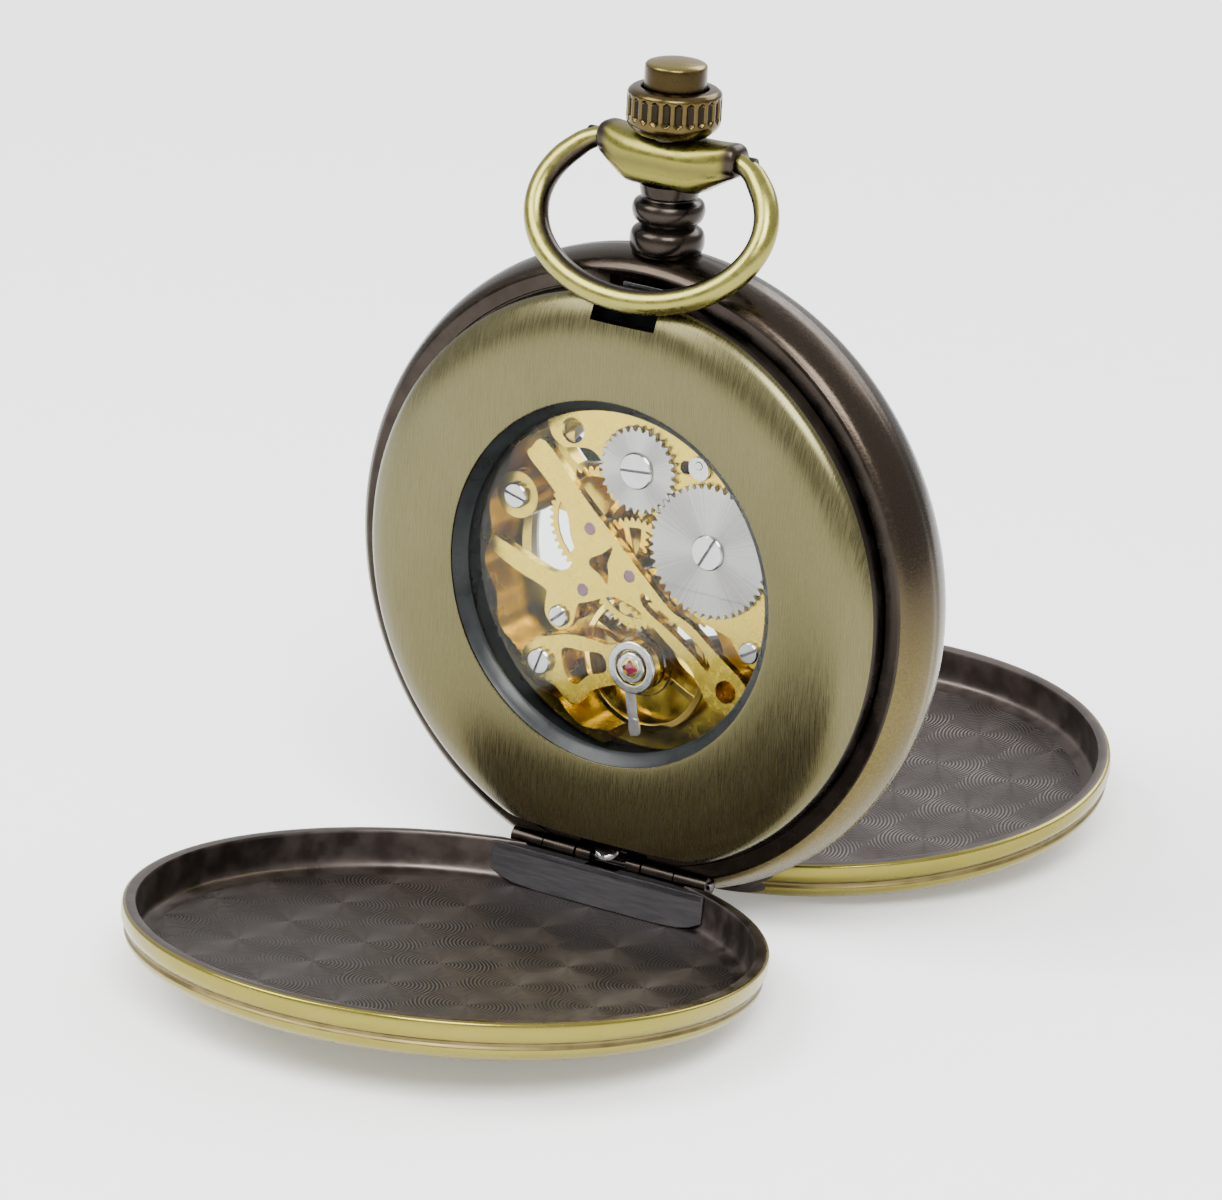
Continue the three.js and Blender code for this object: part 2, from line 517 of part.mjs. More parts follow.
function trainBridge() {
  const outline = [
    [-8.75, 7.8], [-9.0, 7.15], [-6.1, 4.4], [-5.4, 3.3], [-5.1, 1.9], [-4.65, 0.8], [-5.1, -0.45], [-5.85, -0.9],
    [-6.7, -1.0], [-10.9, 0.4], [-11.6, 0.55], [-11.75, -0.2], [-11.0, -0.9], [-9.2, -1.7], [-6.8, -2.4],
    [-6.95, -3.3], [-6.9, -4.3], [-6.2, -5.1], [-5.4, -5.2], [-4.6, -4.6], [-4.35, -3.5],
    [-4.3, -2.85], [-3.2, -2.6], [-1.5, -1.85], [1.05, -2.45], [2.8, -3.8], [5.45, -5.7], [6.4, -7.1],
    [7.4, -8.3], [8.8, -8.4], [9.75, -7.6], [10.1, -6.4], [9.8, -5.7], [5.3, -2.5], [3.7, -1.85],
    [2.1, -0.55], [-1.8, 2.95], [-4.5, 5.4], [-7.6, 8.55],
  ];
  const heart = [[-1.6, 1.8], [-2.4, 1.1], [-3.35, 0.5], [-3.0, -0.3], [-1.9, -0.9], [-1.75, 0.3]];
  const slot = [[1.0, -1.15], [1.5, -1.15], [4.4, -2.9], [6.2, -4.0], [7.1, -5.3], [6.7, -5.6], [5.6, -4.6], [3.6, -3.3], [1.2, -1.75]];
  const holes = [heart, slot, circlePoints(0.85, [8.5, -6.8], 12), circlePoints(0.5, MIDDLE_SCREW, 12),
    pivotHole(CENTRE), pivotHole(THIRD), pivotHole(FOURTH)];
  const bar = plate(outline, BRIDGE_TOP, BRIDGE_UNDER, holes);
  const foot = at(ring(0.85, 1.15, BRIDGE_UNDER - 0.1, -0.05, 12), [8.5, -6.8]);
  return join(bar, foot);
}
add('train_bridge', trainBridge(), GILT);

function barrelBridge() {
  const upperEdge = [[-7.3, 8.9], [-6.3, 8.25], [-5.2, 8.45], [-4.0, 8.55], [-2.95, 7.75], [-2.6, 6.4], [-2.1, 5.2]];
  const lowerEdge = [[-1.4, 4.9], [0.4, 5.1], [1.9, 4.5], [2.3, 2.7], [1.9, 0.8], [3.3, -0.6], [4.6, -1.5], [6.2, -2.3]];
  const lowerLug = [[8.4, -2.9], [9.3, -4.1], [10.2, -4.7], [11.3, -4.7]];
  const outline = [...arc(12.9, -20, 128, 15), ...upperEdge, ...lowerEdge, ...lowerLug];
  const holes = [
    circlePoints(0.95, [-5.6, 9.6], 12), circlePoints(0.5, [4.0, 8.8], 12), circlePoints(0.9, BARREL, 12),
    circlePoints(0.9, CROWN_WHEEL, 12), circlePoints(0.5, BRIDGE_SCREW, 12),
  ];
  return plate(outline, BARREL_BRIDGE_TOP, BARREL_BRIDGE_UNDER, holes);
}
add('barrel_bridge', barrelBridge(), GILT);

function balanceCock() {
  const outline = [
    [-8.5, -7.0], [-6.85, -6.05], [-4.3, -5.4], [-1.5, -5.6], ...arc(1.95, 125, -125, 10, BALANCE),
    [-1.2, -8.5], [-2.8, -9.3], [-4.25, -10.7], [-6.05, -9.5], [-8.4, -9.3], [-9.0, -8.1],
  ];
  const windowHole = [[-5.4, -6.6], [-2.0, -6.3], [-1.6, -7.6], [-3.1, -8.2], [-4.2, -9.2], [-5.1, -8.6]];
  const arm = plate(outline, BRIDGE_TOP + 0.1, BRIDGE_UNDER, [windowHole, circlePoints(1.2, BALANCE, 12)]);
  const foot = at(disc(1.7, BRIDGE_UNDER - 0.1, -0.05, 12), COCK_SCREW);
  return cut(join(arm, foot), at(disc(0.55, -3, -1.2, SCREW_STEPS), COCK_SCREW));
}
add('balance_cock', balanceCock(), GILT);

const palletBridge = plate(
  [[-1.9, -2.9], [-0.6, -2.7], [1.6, -2.2], [2.0, -2.9], [0.0, -4.3], [-0.9, -4.6], [-1.7, -4.3]],
  -0.6, -0.42, [pivotHole(PALLET)],
);
add('pallet_bridge', palletBridge, GILT);

// ---------------------------------------------------------------- screws
function screw(centre, headR, top, headHeight, shankR, shankEnd, slotDeg) {
  const body = turned([
    [0, top], [headR - 0.08, top], [headR, top + 0.08], [headR, top + headHeight],
    [shankR, top + headHeight], [shankR, shankEnd], [0, shankEnd],
  ], SCREW_STEPS);
  const slot = box(-headR - 0.2, headR + 0.2, top - 0.1, top + 0.14, -0.09, 0.09)
    .rotateY(-THREE.MathUtils.degToRad(slotDeg));
  return at(cut(body, slot), centre);
}
add('crown_wheel_screw', screw(CROWN_WHEEL, 1.35, -3.0, 0.22, 0.6, -1.95, 5), STEEL);
add('ratchet_screw', screw(BARREL, 1.3, -3.0, 0.22, 0.25, -2.1, 60), STEEL);
add('upper_screw', screw(UPPER_SCREW, 0.95, -2.75, 0.4, 0.45, -1.3, -15), STEEL);
add('middle_screw', screw(MIDDLE_SCREW, 0.8, -3.05, 0.3, 0.45, -1.3, 40), STEEL);
add('cock_screw', screw(COCK_SCREW, 0.95, -3.1, 0.45, 0.45, -1.3, 70), STEEL);
add('bridge_screw', screw(BRIDGE_SCREW, 0.8, -2.75, 0.4, 0.45, -1.3, 30), STEEL);

// ---------------------------------------------------------------- winding and barrel
const windingTeeth = gear([0, 0], 15, 0.22);
const windingPinion = clean(new THREE.ExtrudeGeometry(
  shapeOf(toothPoints(windingTeeth, true)),
  { depth: 1.3, bevelEnabled: false },
).translate(0, 0, 9.75));
add('winding_pinion', cut(windingPinion, rodZ(STEM_R + 0.06, 9, 12)), STEEL);

add('crown_wheel', wheelPlate(crownGear, -2.75, -2.35, [circlePoints(0.68, CROWN_WHEEL, 12)], true), STEEL);
add('ratchet_wheel', wheelPlate(ratchetGear, -2.75, -2.35, [circlePoints(0.62, BARREL, 12)], true), STEEL);

function barrelDrum() {
  const teeth = wheelPlate(barrelGear, -0.6, -0.2);
  const wall = at(ring(5.0, 5.5, -1.15, -0.5, 28), BARREL);
  return cut(join(teeth, wall), at(disc(5.0, -2, -0.4, 28), BARREL), at(disc(0.5, -2, 0.2, 12), BARREL));
}
add('barrel_drum', barrelDrum(), GILT);
add('barrel_arbor', at(turned([
  [0, -2.0], [0.32, -2.0], [0.32, -2.72], [0.55, -2.72], [0.55, -1.3], [0.9, -1.2], [0.9, -0.55], [0.4, -0.45], [0.4, -0.1], [0, -0.1],
], SCREW_STEPS), BARREL), STEEL);

// a flat spiral strip in the XZ plane
function spiral(centre, r0, r1, turns, thickness, y0, y1, perTurn) {
  const count = Math.round(turns * perTurn);
  const at2 = (i, offset) => {
    const a = (i / perTurn) * 2 * Math.PI;
    const r = r0 + ((r1 - r0) * i) / count + offset;
    return [centre[0] + r * Math.cos(a), centre[1] + r * Math.sin(a)];
  };
  const inner = [];
  const outer = [];
  for (let i = 0; i <= count; i++) {
    inner.push(at2(i, -thickness / 2));
    outer.push(at2(i, thickness / 2));
  }
  return plate([...outer, ...inner.reverse()], y0, y1);
}
add('mainspring', spiral(BARREL, 1.6, 4.6, 2.5, 0.3, -1.1, -0.5, 14), STEEL);

add('click', plate([
  [4.45, 8.75], [4.95, 8.25], [5.75, 8.2], [6.15, 8.85], [5.9, 9.7], [5.0, 9.95], [4.4, 9.5],
], -2.75, -2.4), STEEL);
add('click_spring', plate([
  [6.5, 9.4], [6.6, 9.0], [8.6, 8.3], [9.6, 7.3], [9.9, 7.6], [8.8, 8.7], [7.0, 9.6],
], -2.75, -2.4), STEEL);

// ---------------------------------------------------------------- going train
const hubHoles = (g, rim, count, start) => spokeHoles(g.centre, 0.65, g.r - rim, count, 0.45, start);

const centreWheel = join(
  wheelPlate(centreGear, -1.85, -1.68, hubHoles(centreGear, 0.65, 4, 0.3)),
  wheelPlate(centrePinion, -0.65, -0.15),
  arbor(CENTRE, [[0, -2.3], [0.18, -2.3], [0.2, -1.95], [0.2, 1.7], [0, 1.7]]),
);
add('centre_wheel', centreWheel, GILT);

const thirdWheel = join(
  wheelPlate(thirdPinion, -1.9, -1.6),
  wheelPlate(thirdGear, -1.45, -1.3, hubHoles(thirdGear, 0.65, 4, 0.9)),
  arbor(THIRD, [[0, -2.3], [0.18, -2.3], [0.2, -1.95], [0.2, 0.6], [0, 0.6]]),
);
add('third_wheel', thirdWheel, GILT);

const fourthWheel = join(
  wheelPlate(fourthPinion, -1.5, -1.25),
  wheelPlate(fourthGear, -0.65, -0.5, hubHoles(fourthGear, 0.4, 4, 0.2)),
  arbor(FOURTH, [[0, -2.3], [0.18, -2.3], [0.2, -1.95], [0.2, 2.2], [0, 2.2]]),
);
add('fourth_wheel', fourthWheel, GILT);

const ESCAPE_TEETH = 15;
const ESCAPE_R = 1.5;
function escapeWheel() {
  const points = [];
  for (let i = 0; i < ESCAPE_TEETH; i++) {
    const a = (i * 2 * Math.PI) / ESCAPE_TEETH;
    for (const [r, k] of [[1.15, -0.16], [ESCAPE_R, 0.04], [ESCAPE_R, 0.1], [1.15, 0.0]]) {
      points.push([ESCAPE[0] + r * Math.cos(a + k), ESCAPE[1] + r * Math.sin(a + k)]);
    }
  }
  return join(
    plate(points, -0.35, -0.2),
    wheelPlate(escapePinion, -0.7, -0.32),
    arbor(ESCAPE, [[0, -0.75], [0.12, -0.75], [0.12, 0.6], [0, 0.6]]),
  );
}
add('escape_wheel', escapeWheel(), STEEL);

// lever with two stones beside the escape wheel and a fork that reaches the balance roller
function palletFork() {
  const outline = [
    [-1.15, -2.65], [-0.85, -2.7], [-0.75, -3.5], [-0.2, -4.6], [0.35, -5.75], [0.2, -6.05], [0.0, -5.75],
    [-0.25, -6.0], [-0.45, -5.65], [-0.6, -4.7], [-1.0, -4.2], [-1.25, -4.95], [-1.5, -5.0], [-1.3, -3.9], [-1.2, -3.4],
  ];
  return join(
    plate(outline, -0.34, -0.2),
    arbor(PALLET, [[0, -0.57], [0.12, -0.57], [0.12, 0.6], [0, 0.6]]),
  );
}
add('pallet_fork', palletFork(), STEEL);

function balanceWheel() {
  const rim = at(ring(BALANCE_R - 0.5, BALANCE_R, -1.15, -0.75, 28), BALANCE);
  const arm = box(-4.8, 4.8, -1.0, -0.8, -0.25, 0.25);
  const crossArm = at(arm.rotateY(THREE.MathUtils.degToRad(25)), BALANCE);
  const staff = arbor(BALANCE, [[0, -1.95], [0.15, -1.95], [0.5, -1.2], [0.5, -0.75], [0.15, -0.55], [0.15, 0.6], [0, 0.6]]);
  return join(rim, crossArm, staff);
}
add('balance_wheel', balanceWheel(), GILT);
add('hairspring', spiral(BALANCE, 0.85, 2.5, 3, 0.1, -1.6, -1.35, 14), STEEL);

function regulator() {
  const ringPart = at(ring(1.3, 1.95, -2.9, -2.68, FINE_STEPS), BALANCE);
  const tail = plate([[0.25, -8.4], [1.05, -8.4], [1.5, -10.2], [1.75, -11.5], [1.2, -11.75], [0.8, -11.6], [0.55, -10.2]],
    -2.9, -2.68);
  return join(ringPart, tail);
}
add('regulator', regulator(), STEEL);
add('shock_setting', at(turned([
  [0, -3.05], [0.75, -3.05], [0.8, -2.95], [1.12, -2.95], [1.12, -2.05], [0, -2.05],
], FINE_STEPS), BALANCE), RUBY);

// ---------------------------------------------------------------- dial side
add('dial_ring', ring(DIAL_BORE_R, DIAL_R, 2.1, 2.5), DIAL_WHITE);

const cannonPinion = join(
  cut(wheelPlate(cannonGear, 1.3, 1.5), at(disc(0.25, 1, 2, 8), CENTRE)),
  ring(0.25, 0.42, 1.4, 2.95, 12),
);
add('cannon_pinion', cannonPinion, STEEL);

const hourWheel = join(
  wheelPlate(hourGear, 1.62, 1.8, [circlePoints(0.5, CENTRE, 12)]),
  ring(0.5, 0.75, 1.7, 2.65, 12),
);
add('hour_wheel', hourWheel, GILT);

const minuteWheel = join(
  wheelPlate(minuteGear, 1.3, 1.5),
  wheelPlate(minutePinion, 1.45, 1.85),
);
add('minute_wheel', minuteWheel, GILT);

// a leaf hand with a hub ring, pointing to an angle clockwise from 12 as seen from the dial side
function hand(length, width, hubR, boreR, y0, y1, clockDeg) {
  const blade = [
    [-width * 0.3, 0], [-width, length * 0.62], [-width * 0.6, length * 0.8], [0, length],
    [width * 0.6, length * 0.8], [width, length * 0.62], [width * 0.3, 0],
  ];
  const body = join(plate(blade, y0, y1), disc(hubR, y0, y1, 16));
  const bored = boreR > 0 ? cut(body, disc(boreR, y0 - 1, y1 + 1, 12)) : body;
  return bored.rotateY(-THREE.MathUtils.degToRad(clockDeg));
}
add('hour_hand', hand(9.3, 0.75, 1.2, 0.8, 2.68, 2.83, 305), BLUED_STEEL);
add('minute_hand', hand(14.0, 0.6, 1.0, 0.47, 3.0, 3.14, 50), BLUED_STEEL);
add('second_hand', at(hand(2.2, 0.2, 0.4, 0.24, 2.3, 2.4, 180), FOURTH), BLUED_STEEL);

export default watch;
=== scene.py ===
"""Looks of the double-hunter pocket watch.

Every piece is built in millimetres from the case centre, closed, and is then moved into the frame:
the watch axis lies along Y, with the movement side facing -Y and the dial side facing +Y.
"""

import json
import math

import bmesh
import bpy
from mathutils import Matrix, Vector
from mathutils.geometry import tessellate_polygon


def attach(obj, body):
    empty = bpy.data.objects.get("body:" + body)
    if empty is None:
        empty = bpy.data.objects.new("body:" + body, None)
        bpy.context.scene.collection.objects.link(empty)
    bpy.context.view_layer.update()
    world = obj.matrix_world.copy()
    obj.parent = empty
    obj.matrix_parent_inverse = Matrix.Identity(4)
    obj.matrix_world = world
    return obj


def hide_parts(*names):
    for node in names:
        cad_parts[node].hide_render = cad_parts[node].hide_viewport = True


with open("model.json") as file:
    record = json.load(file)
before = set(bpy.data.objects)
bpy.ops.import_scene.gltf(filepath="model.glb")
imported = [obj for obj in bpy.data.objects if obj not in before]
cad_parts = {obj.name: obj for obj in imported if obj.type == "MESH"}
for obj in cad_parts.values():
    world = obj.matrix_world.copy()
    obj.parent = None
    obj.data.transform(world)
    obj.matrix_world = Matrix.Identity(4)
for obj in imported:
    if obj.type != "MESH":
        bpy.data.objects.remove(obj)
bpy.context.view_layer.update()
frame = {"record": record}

MM = 0.001
CENTRE_HEIGHT = 24.933  # of the case centre above the ground
HINGE_Y = 2.99
HINGE_Z = -21.43
KNUCKLE_R = 0.74
COVER_OPEN = math.radians(85.4)
MATE_Y = 3.1  # where a closed cover's edge rests
PIVOT_Z = 30.84  # of the bow's pins
BOW_TILT = math.radians(29.6)
BOW_HALF_WIDTH = 9.27
BOW_HALF_HEIGHT = 6.37
BOW_DROP = 4.91  # from the pivots to the middle of the oval
BACK_WINDOW_R = 13.43
FRONT_WINDOW_R = 17.0
FINE = 192  # steps round a turned shape
MEDIUM = 96
SMALL = 40

# x and z of the wheels' and screws' centres
CENTRE = (0.0, 0.0)
CROWN_WHEEL = (0.2, 7.9)
BARREL = (6.45, 3.15)
CLICK = (5.3, 9.3)
THIRD = (-3.5, 2.8)
FOURTH = (-3.85, -1.85)
ESCAPE = (-2.9, -3.9)
PALLET = (-1.0, -3.8)
BALANCE = (0.65, -6.7)
MINUTE_WHEEL = (2.6, -1.866)
UPPER_SCREW = (-10.0, 3.9)
MIDDLE_SCREW = (-5.7, -4.2)
COCK_SCREW = (-7.1, -7.9)
BRIDGE_SCREW = (10.15, -3.55)

# heights along the watch axis; lower is nearer to the movement side
STEEL_TOP = -2.74
CLICK_UNDERSIDE = -2.41
BRIDGE_UNDERSIDE = -2.02
STAFF_TOP = -2.28
STAFF_END = 0.58
FOOT_TOP = -2.1

BODIES = frame["record"]["behaviour"]["bodies"]
BODY_OF = {node: body for body, nodes in BODIES.items() for node in nodes}


# ---- materials
class Shader:
    """A material whose node tree is written one node at a time."""

    def __init__(self, name):
        self.material = bpy.data.materials.new(name)
        self.material.use_nodes = True
        self.tree = self.material.node_tree
        self.bsdf = self.tree.nodes["Principled BSDF"]
        self.output = self.tree.nodes["Material Output"]
        self.coords = self.node("ShaderNodeTexCoord").outputs["Object"]

    def node(self, kind, **settings):
        made = self.tree.nodes.new(kind)
        for key, value in settings.items():
            setattr(made, key, value)
        return made

    def put(self, node, key, value):
        socket = node.inputs[int(key) if key.isdigit() else key]
        if isinstance(value, bpy.types.NodeSocket):
            self.tree.links.new(value, socket)
        else:
            socket.default_value = value

    def set(self, key, value):
        self.put(self.bsdf, key, value)

    def math(self, operation, a, b=0.0):
        made = self.node("ShaderNodeMath", operation=operation)
        self.put(made, "0", a)
        self.put(made, "1", b)
        return made.outputs[0]

    def add(self, a, b):
        return self.math("ADD", a, b)

    def less(self, a, b):
        return self.math("SUBTRACT", a, b)

    def times(self, a, b):
        return self.math("MULTIPLY", a, b)

    def length(self, a, b):
        return self.math("SQRT", self.add(self.times(a, a), self.times(b, b)))

    def range(self, value, low, high, to_low=0.0, to_high=1.0):
        made = self.node("ShaderNodeMapRange", interpolation_type="SMOOTHSTEP")
        keys = ("Value", "From Min", "From Max", "To Min", "To Max")
        for key, number in zip(keys, (value, low, high, to_low, to_high)):
            self.put(made, key, number)
        return made.outputs["Result"]

    def mix(self, factor, a, b):
        made = self.node("ShaderNodeMix", data_type="RGBA")
        self.put(made, "0", factor)
        self.put(made, "6", a)
        self.put(made, "7", b)
        return made.outputs[2]

    def scaled(self, scale):
        made = self.node("ShaderNodeMapping", vector_type="POINT")
        self.put(made, "Vector", self.coords)
        self.put(made, "Scale", scale)
        return made.outputs["Vector"]

    def noise(self, vector, scale=1.0, detail=3.0):
        made = self.node("ShaderNodeTexNoise")
        self.put(made, "Vector", vector)
        self.put(made, "Scale", scale)
        self.put(made, "Detail", detail)
        return made.outputs["Fac"]

    def split(self):
        made = self.node("ShaderNodeSeparateXYZ")
        self.put(made, "Vector", self.coords)
        return made.outputs

    def bump(self, height, strength, distance):
        made = self.node("ShaderNodeBump")
        self.put(made, "Height", height)
        self.put(made, "Strength", strength)
        self.put(made, "Distance", distance)
        self.set("Normal", made.outputs["Normal"])


def rgb(red, green, blue):
    return (red, green, blue, 1.0)


def brushed(name, light, dark, grain, rough, strength=0.25, patina_and_painted_light=None, patina_and_painted_light_mask=None):
    """Brushed metal with fine streaks. grain is the noise scale along X, Y and Z, in cycles per metre.
    The last two arguments give a second colour and where it shows, from 0 to 1: real patina on some parts,
    painted shade and painted highlights on others; the mask gets the shader and its cloudy noise."""
    s = Shader(name)
    streak = s.noise(s.scaled(grain), detail=4.0)
    cloud = s.noise(s.coords, scale=90.0, detail=2.0)
    blend = s.add(s.times(streak, 0.6), s.times(cloud, 0.4))
    colour = s.mix(s.range(blend, 0.3, 0.7), dark, light)
    if patina_and_painted_light_mask:
        colour = s.mix(patina_and_painted_light_mask(s, cloud), colour, patina_and_painted_light)
    s.set("Base Color", colour)
    s.set("Metallic", 1.0)
    s.set("Roughness", s.range(streak, 0.3, 0.7, rough - 0.04, rough + 0.06))
    s.bump(streak, strength, 0.00002)
    return s.material


def painted_shade_low_on_bezels(s, _):
    """Painted shade: the lower part of the bezels is painted darker."""
    return s.times(s.range(s.split()["Z"], 0.022, 0.008), 0.4)


def high_on_band(s, cloud):
    """The top of the band has gone dark."""
    height = s.add(s.split()["Z"], s.times(cloud, 0.004))
    return s.range(height, 0.019, 0.036)


def inside_bow(s, cloud):
    """1 on the side of the bow that faces the middle of its oval, and in its two ends."""
    x, y, z = s.split()[:3]
    down = s.less((PIVOT_Z + CENTRE_HEIGHT) * MM, z)
    along = s.less(s.times(down, math.cos(BOW_TILT)), s.times(y, math.sin(BOW_TILT)))
    u = s.math("DIVIDE", x, BOW_HALF_WIDTH * MM)
    v = s.math("DIVIDE", s.less(along, BOW_DROP * MM), BOW_HALF_HEIGHT * MM)
    size = s.length(u, v)
    uneven = s.add(size, s.times(cloud, 0.05))
    return s.range(uneven, 1.0, 0.94)


def ends_of_head(s, cloud):
    """Dark in the ears, with painted shade along the crease and the underside of the pendant's head."""
    x, _, z = s.split()[:3]
    height = s.less(z, CENTRE_HEIGHT * MM)
    uneven = s.times(s.less(cloud, 0.5), 0.0012)
    ears = s.range(s.add(s.math("ABSOLUTE", x), uneven), 0.0044, 0.0052)
    # Painted shade on the underside, and a painted shade line along the crease.
    under = s.range(s.add(height, uneven), 0.0288, 0.0283)
    crease = s.math("ABSOLUTE", s.less(s.add(height, uneven), 0.03005))
    line = s.times(s.range(crease, 0.0006, 0.0), 0.4)
    return s.math("MAXIMUM", s.math("MAXIMUM", ears, under), line)


def painted_highlight_on_button_top(s, _):
    """Painted highlight: the domed top is painted brighter."""
    return s.range(s.split()["Z"], (CENTRE_HEIGHT + 36.7) * MM, (CENTRE_HEIGHT + 37.15) * MM)


def polished(name, colour, rough=0.15, metallic=1.0, spots=0.3, coat=0.0, shine=0.5):
    """Smooth metal or lacquer with faint cloudy wear."""
    s = Shader(name)
    cloud = s.noise(s.coords, scale=500.0, detail=3.0)
    darker = tuple(c * (1.0 - spots) for c in colour[:3]) + (1.0,)
    s.set("Base Color", s.mix(s.range(cloud, 0.35, 0.65), darker, colour))
    s.set("Metallic", metallic)
    s.set("Roughness", s.range(cloud, 0.3, 0.7, rough * 0.8, rough * 1.3))
    s.set("Coat Weight", coat)
    s.set("Specular IOR Level", shine)
    s.bump(cloud, 0.05, 0.00003)
    return s.material


def sunburst(name, centre, light, dark, rays=60.0):
    """Steel ground in rays round a wheel's centre."""
    s = Shader(name)
    x, _, z = s.split()[:3]
    dx = s.less(x, centre[0] * MM)
    dz = s.less(z, (centre[1] + CENTRE_HEIGHT) * MM)
    angle = s.math("ARCTAN2", dz, dx)
    ray = s.node("ShaderNodeCombineXYZ")
    s.put(ray, "X", s.times(s.math("COSINE", angle), rays))
    s.put(ray, "Y", s.times(s.math("SINE", angle), rays))
    streak = s.noise(ray.outputs["Vector"], scale=0.5, detail=3.0)
    broad = s.times(s.math("COSINE", s.times(angle, 4.0)), 0.16)
    blend = s.add(streak, broad)
    s.set("Base Color", s.mix(s.range(blend, 0.3, 0.7), dark, light))
    s.set("Metallic", 1.0)
    s.set("Roughness", s.range(streak, 0.3, 0.7, 0.3, 0.45))
    s.bump(streak, 0.2, 0.00003)
    return s.material


def perlage(name, light, dark, pitch=0.0064, rings=0.00028, start=(-0.01307, -0.01806)):
    """Dark metal covered in a square grid of circular-grained spots, each with a painted bow-tie highlight.
    """
    s = Shader(name)
    x, y, _ = s.split()[:3]
    half = pitch / 2
    u = s.less(s.math("FLOORED_MODULO", s.add(x, half - start[0]), pitch), half)
    v = s.less(s.math("FLOORED_MODULO", s.add(y, half - start[1]), pitch), half)
    radius = s.length(u, v)
    wave = s.math("SINE", s.times(radius, 2 * math.pi / rings))
    angle = s.math("ARCTAN2", v, u)
    # Each spot gets a painted bow-tie highlight, the reflection that circular graining shows.
    deep = s.math("COSINE", s.times(s.less(angle, math.radians(90)), 2.0))
    slant = s.math("COSINE", s.times(s.less(angle, math.radians(-45)), 2.0))
    painted_bow_tie = s.math("MAXIMUM", s.range(deep, 0.35, 1.0), s.times(s.range(slant, 0.9, 1.0), 0.6))
    faded_bow_tie = s.times(painted_bow_tie, s.range(radius, half * 1.2, 0.0, 0.25, 1.0))
    bow_tie_and_rings = s.add(s.times(faded_bow_tie, 0.6), s.times(wave, 0.18))
    s.set("Base Color", s.mix(s.range(bow_tie_and_rings, -0.2, 0.9), dark, light))
    s.set("Metallic", 1.0)
    s.set("Roughness", s.range(bow_tie_and_rings, -0.1, 0.9, 0.44, 0.38))
    s.bump(wave, 0.6, 0.00003)
    return s.material


def crystal(name):
    """Thin clear glass that keeps what is behind it sharp."""
    s = Shader(name)
    clear = s.node("ShaderNodeBsdfTransparent")
    tint = s.noise(s.coords, scale=60.0)
    s.put(clear, "Color", s.mix(tint, rgb(0.93, 0.95, 0.95), rgb(0.97, 0.98, 0.98)))
    gloss = s.node("ShaderNodeBsdfGlossy")
    s.put(gloss, "Roughness", 0.03)
    fresnel = s.node("ShaderNodeFresnel")
    s.put(fresnel, "IOR", 1.45)
    both = s.node("ShaderNodeMixShader")
    s.put(both, "0", s.times(fresnel.outputs["Fac"], 0.28))
    s.tree.links.new(clear.outputs[0], both.inputs[1])
    s.tree.links.new(gloss.outputs[0], both.inputs[2])
    s.tree.links.new(both.outputs[0], s.output.inputs["Surface"])
    return s.material


UPRIGHT = (14000.0, 1200.0, 500.0)
ACROSS = (500.0, 6000.0, 6000.0)
ROUND_TABLE = (300.0, 300.0, 500.0)
EVEN = (1500.0, 1500.0, 1500.0)
# Dark patina; on the pendant's head it also paints shade under the head and along its crease.
PATINA_AND_PAINTED_SHADE = rgb(0.038, 0.029, 0.022)
# The bezels' lower part blends to a darker bronze: painted shade.
BRONZE = brushed(
    "antique_bronze", rgb(0.124, 0.112, 0.056), rgb(0.092, 0.083, 0.039), UPRIGHT, rough=0.27,
    patina_and_painted_light=rgb(0.10, 0.084, 0.038), patina_and_painted_light_mask=painted_shade_low_on_bezels,
)
BAND = brushed(
    "band_bronze", rgb(0.125, 0.100, 0.040), rgb(0.088, 0.069, 0.028), ACROSS, rough=0.24,
    patina_and_painted_light=PATINA_AND_PAINTED_SHADE, patina_and_painted_light_mask=high_on_band,
)
LID = brushed(
    "lid_bronze", rgb(0.245, 0.210, 0.048), rgb(0.215, 0.182, 0.039), ROUND_TABLE, rough=0.24,
    strength=0.01,
)
BOW_METAL = brushed(
    "bow_bronze", rgb(0.250, 0.230, 0.060), rgb(0.215, 0.196, 0.050), EVEN, rough=0.27, strength=0.03,
    patina_and_painted_light=PATINA_AND_PAINTED_SHADE, patina_and_painted_light_mask=inside_bow,
)
HEAD_METAL = brushed(
    "head_bronze", rgb(0.175, 0.160, 0.038), rgb(0.150, 0.136, 0.031), EVEN, rough=0.29, strength=0.03,
    patina_and_painted_light=PATINA_AND_PAINTED_SHADE, patina_and_painted_light_mask=ends_of_head,
)
CROWN_METAL = brushed(
    "crown_bronze", rgb(0.085, 0.062, 0.021), rgb(0.055, 0.039, 0.014), EVEN, rough=0.22, strength=0.03,
)
# The button's domed top blends to a much lighter colour: a painted highlight.
BUTTON_METAL = brushed(
    "button_bronze", rgb(0.036, 0.025, 0.009), rgb(0.026, 0.018, 0.007), EVEN, rough=0.25, strength=0.03,
    patina_and_painted_light=rgb(0.24, 0.185, 0.065), patina_and_painted_light_mask=painted_highlight_on_button_top,
)
# Dark patina on the neck, pins and hinge knuckles; on the case's seat ledges, skirts, notches and cut faces
# it is painted shade.
DARK = polished("dark_patina_and_painted_shade", rgb(0.035, 0.028, 0.023), rough=0.24)
# Near black for the deepest flute faces and the hollow round the button: painted shade.
DARKER = polished("flute_dark", rgb(0.022, 0.017, 0.012), rough=0.35)
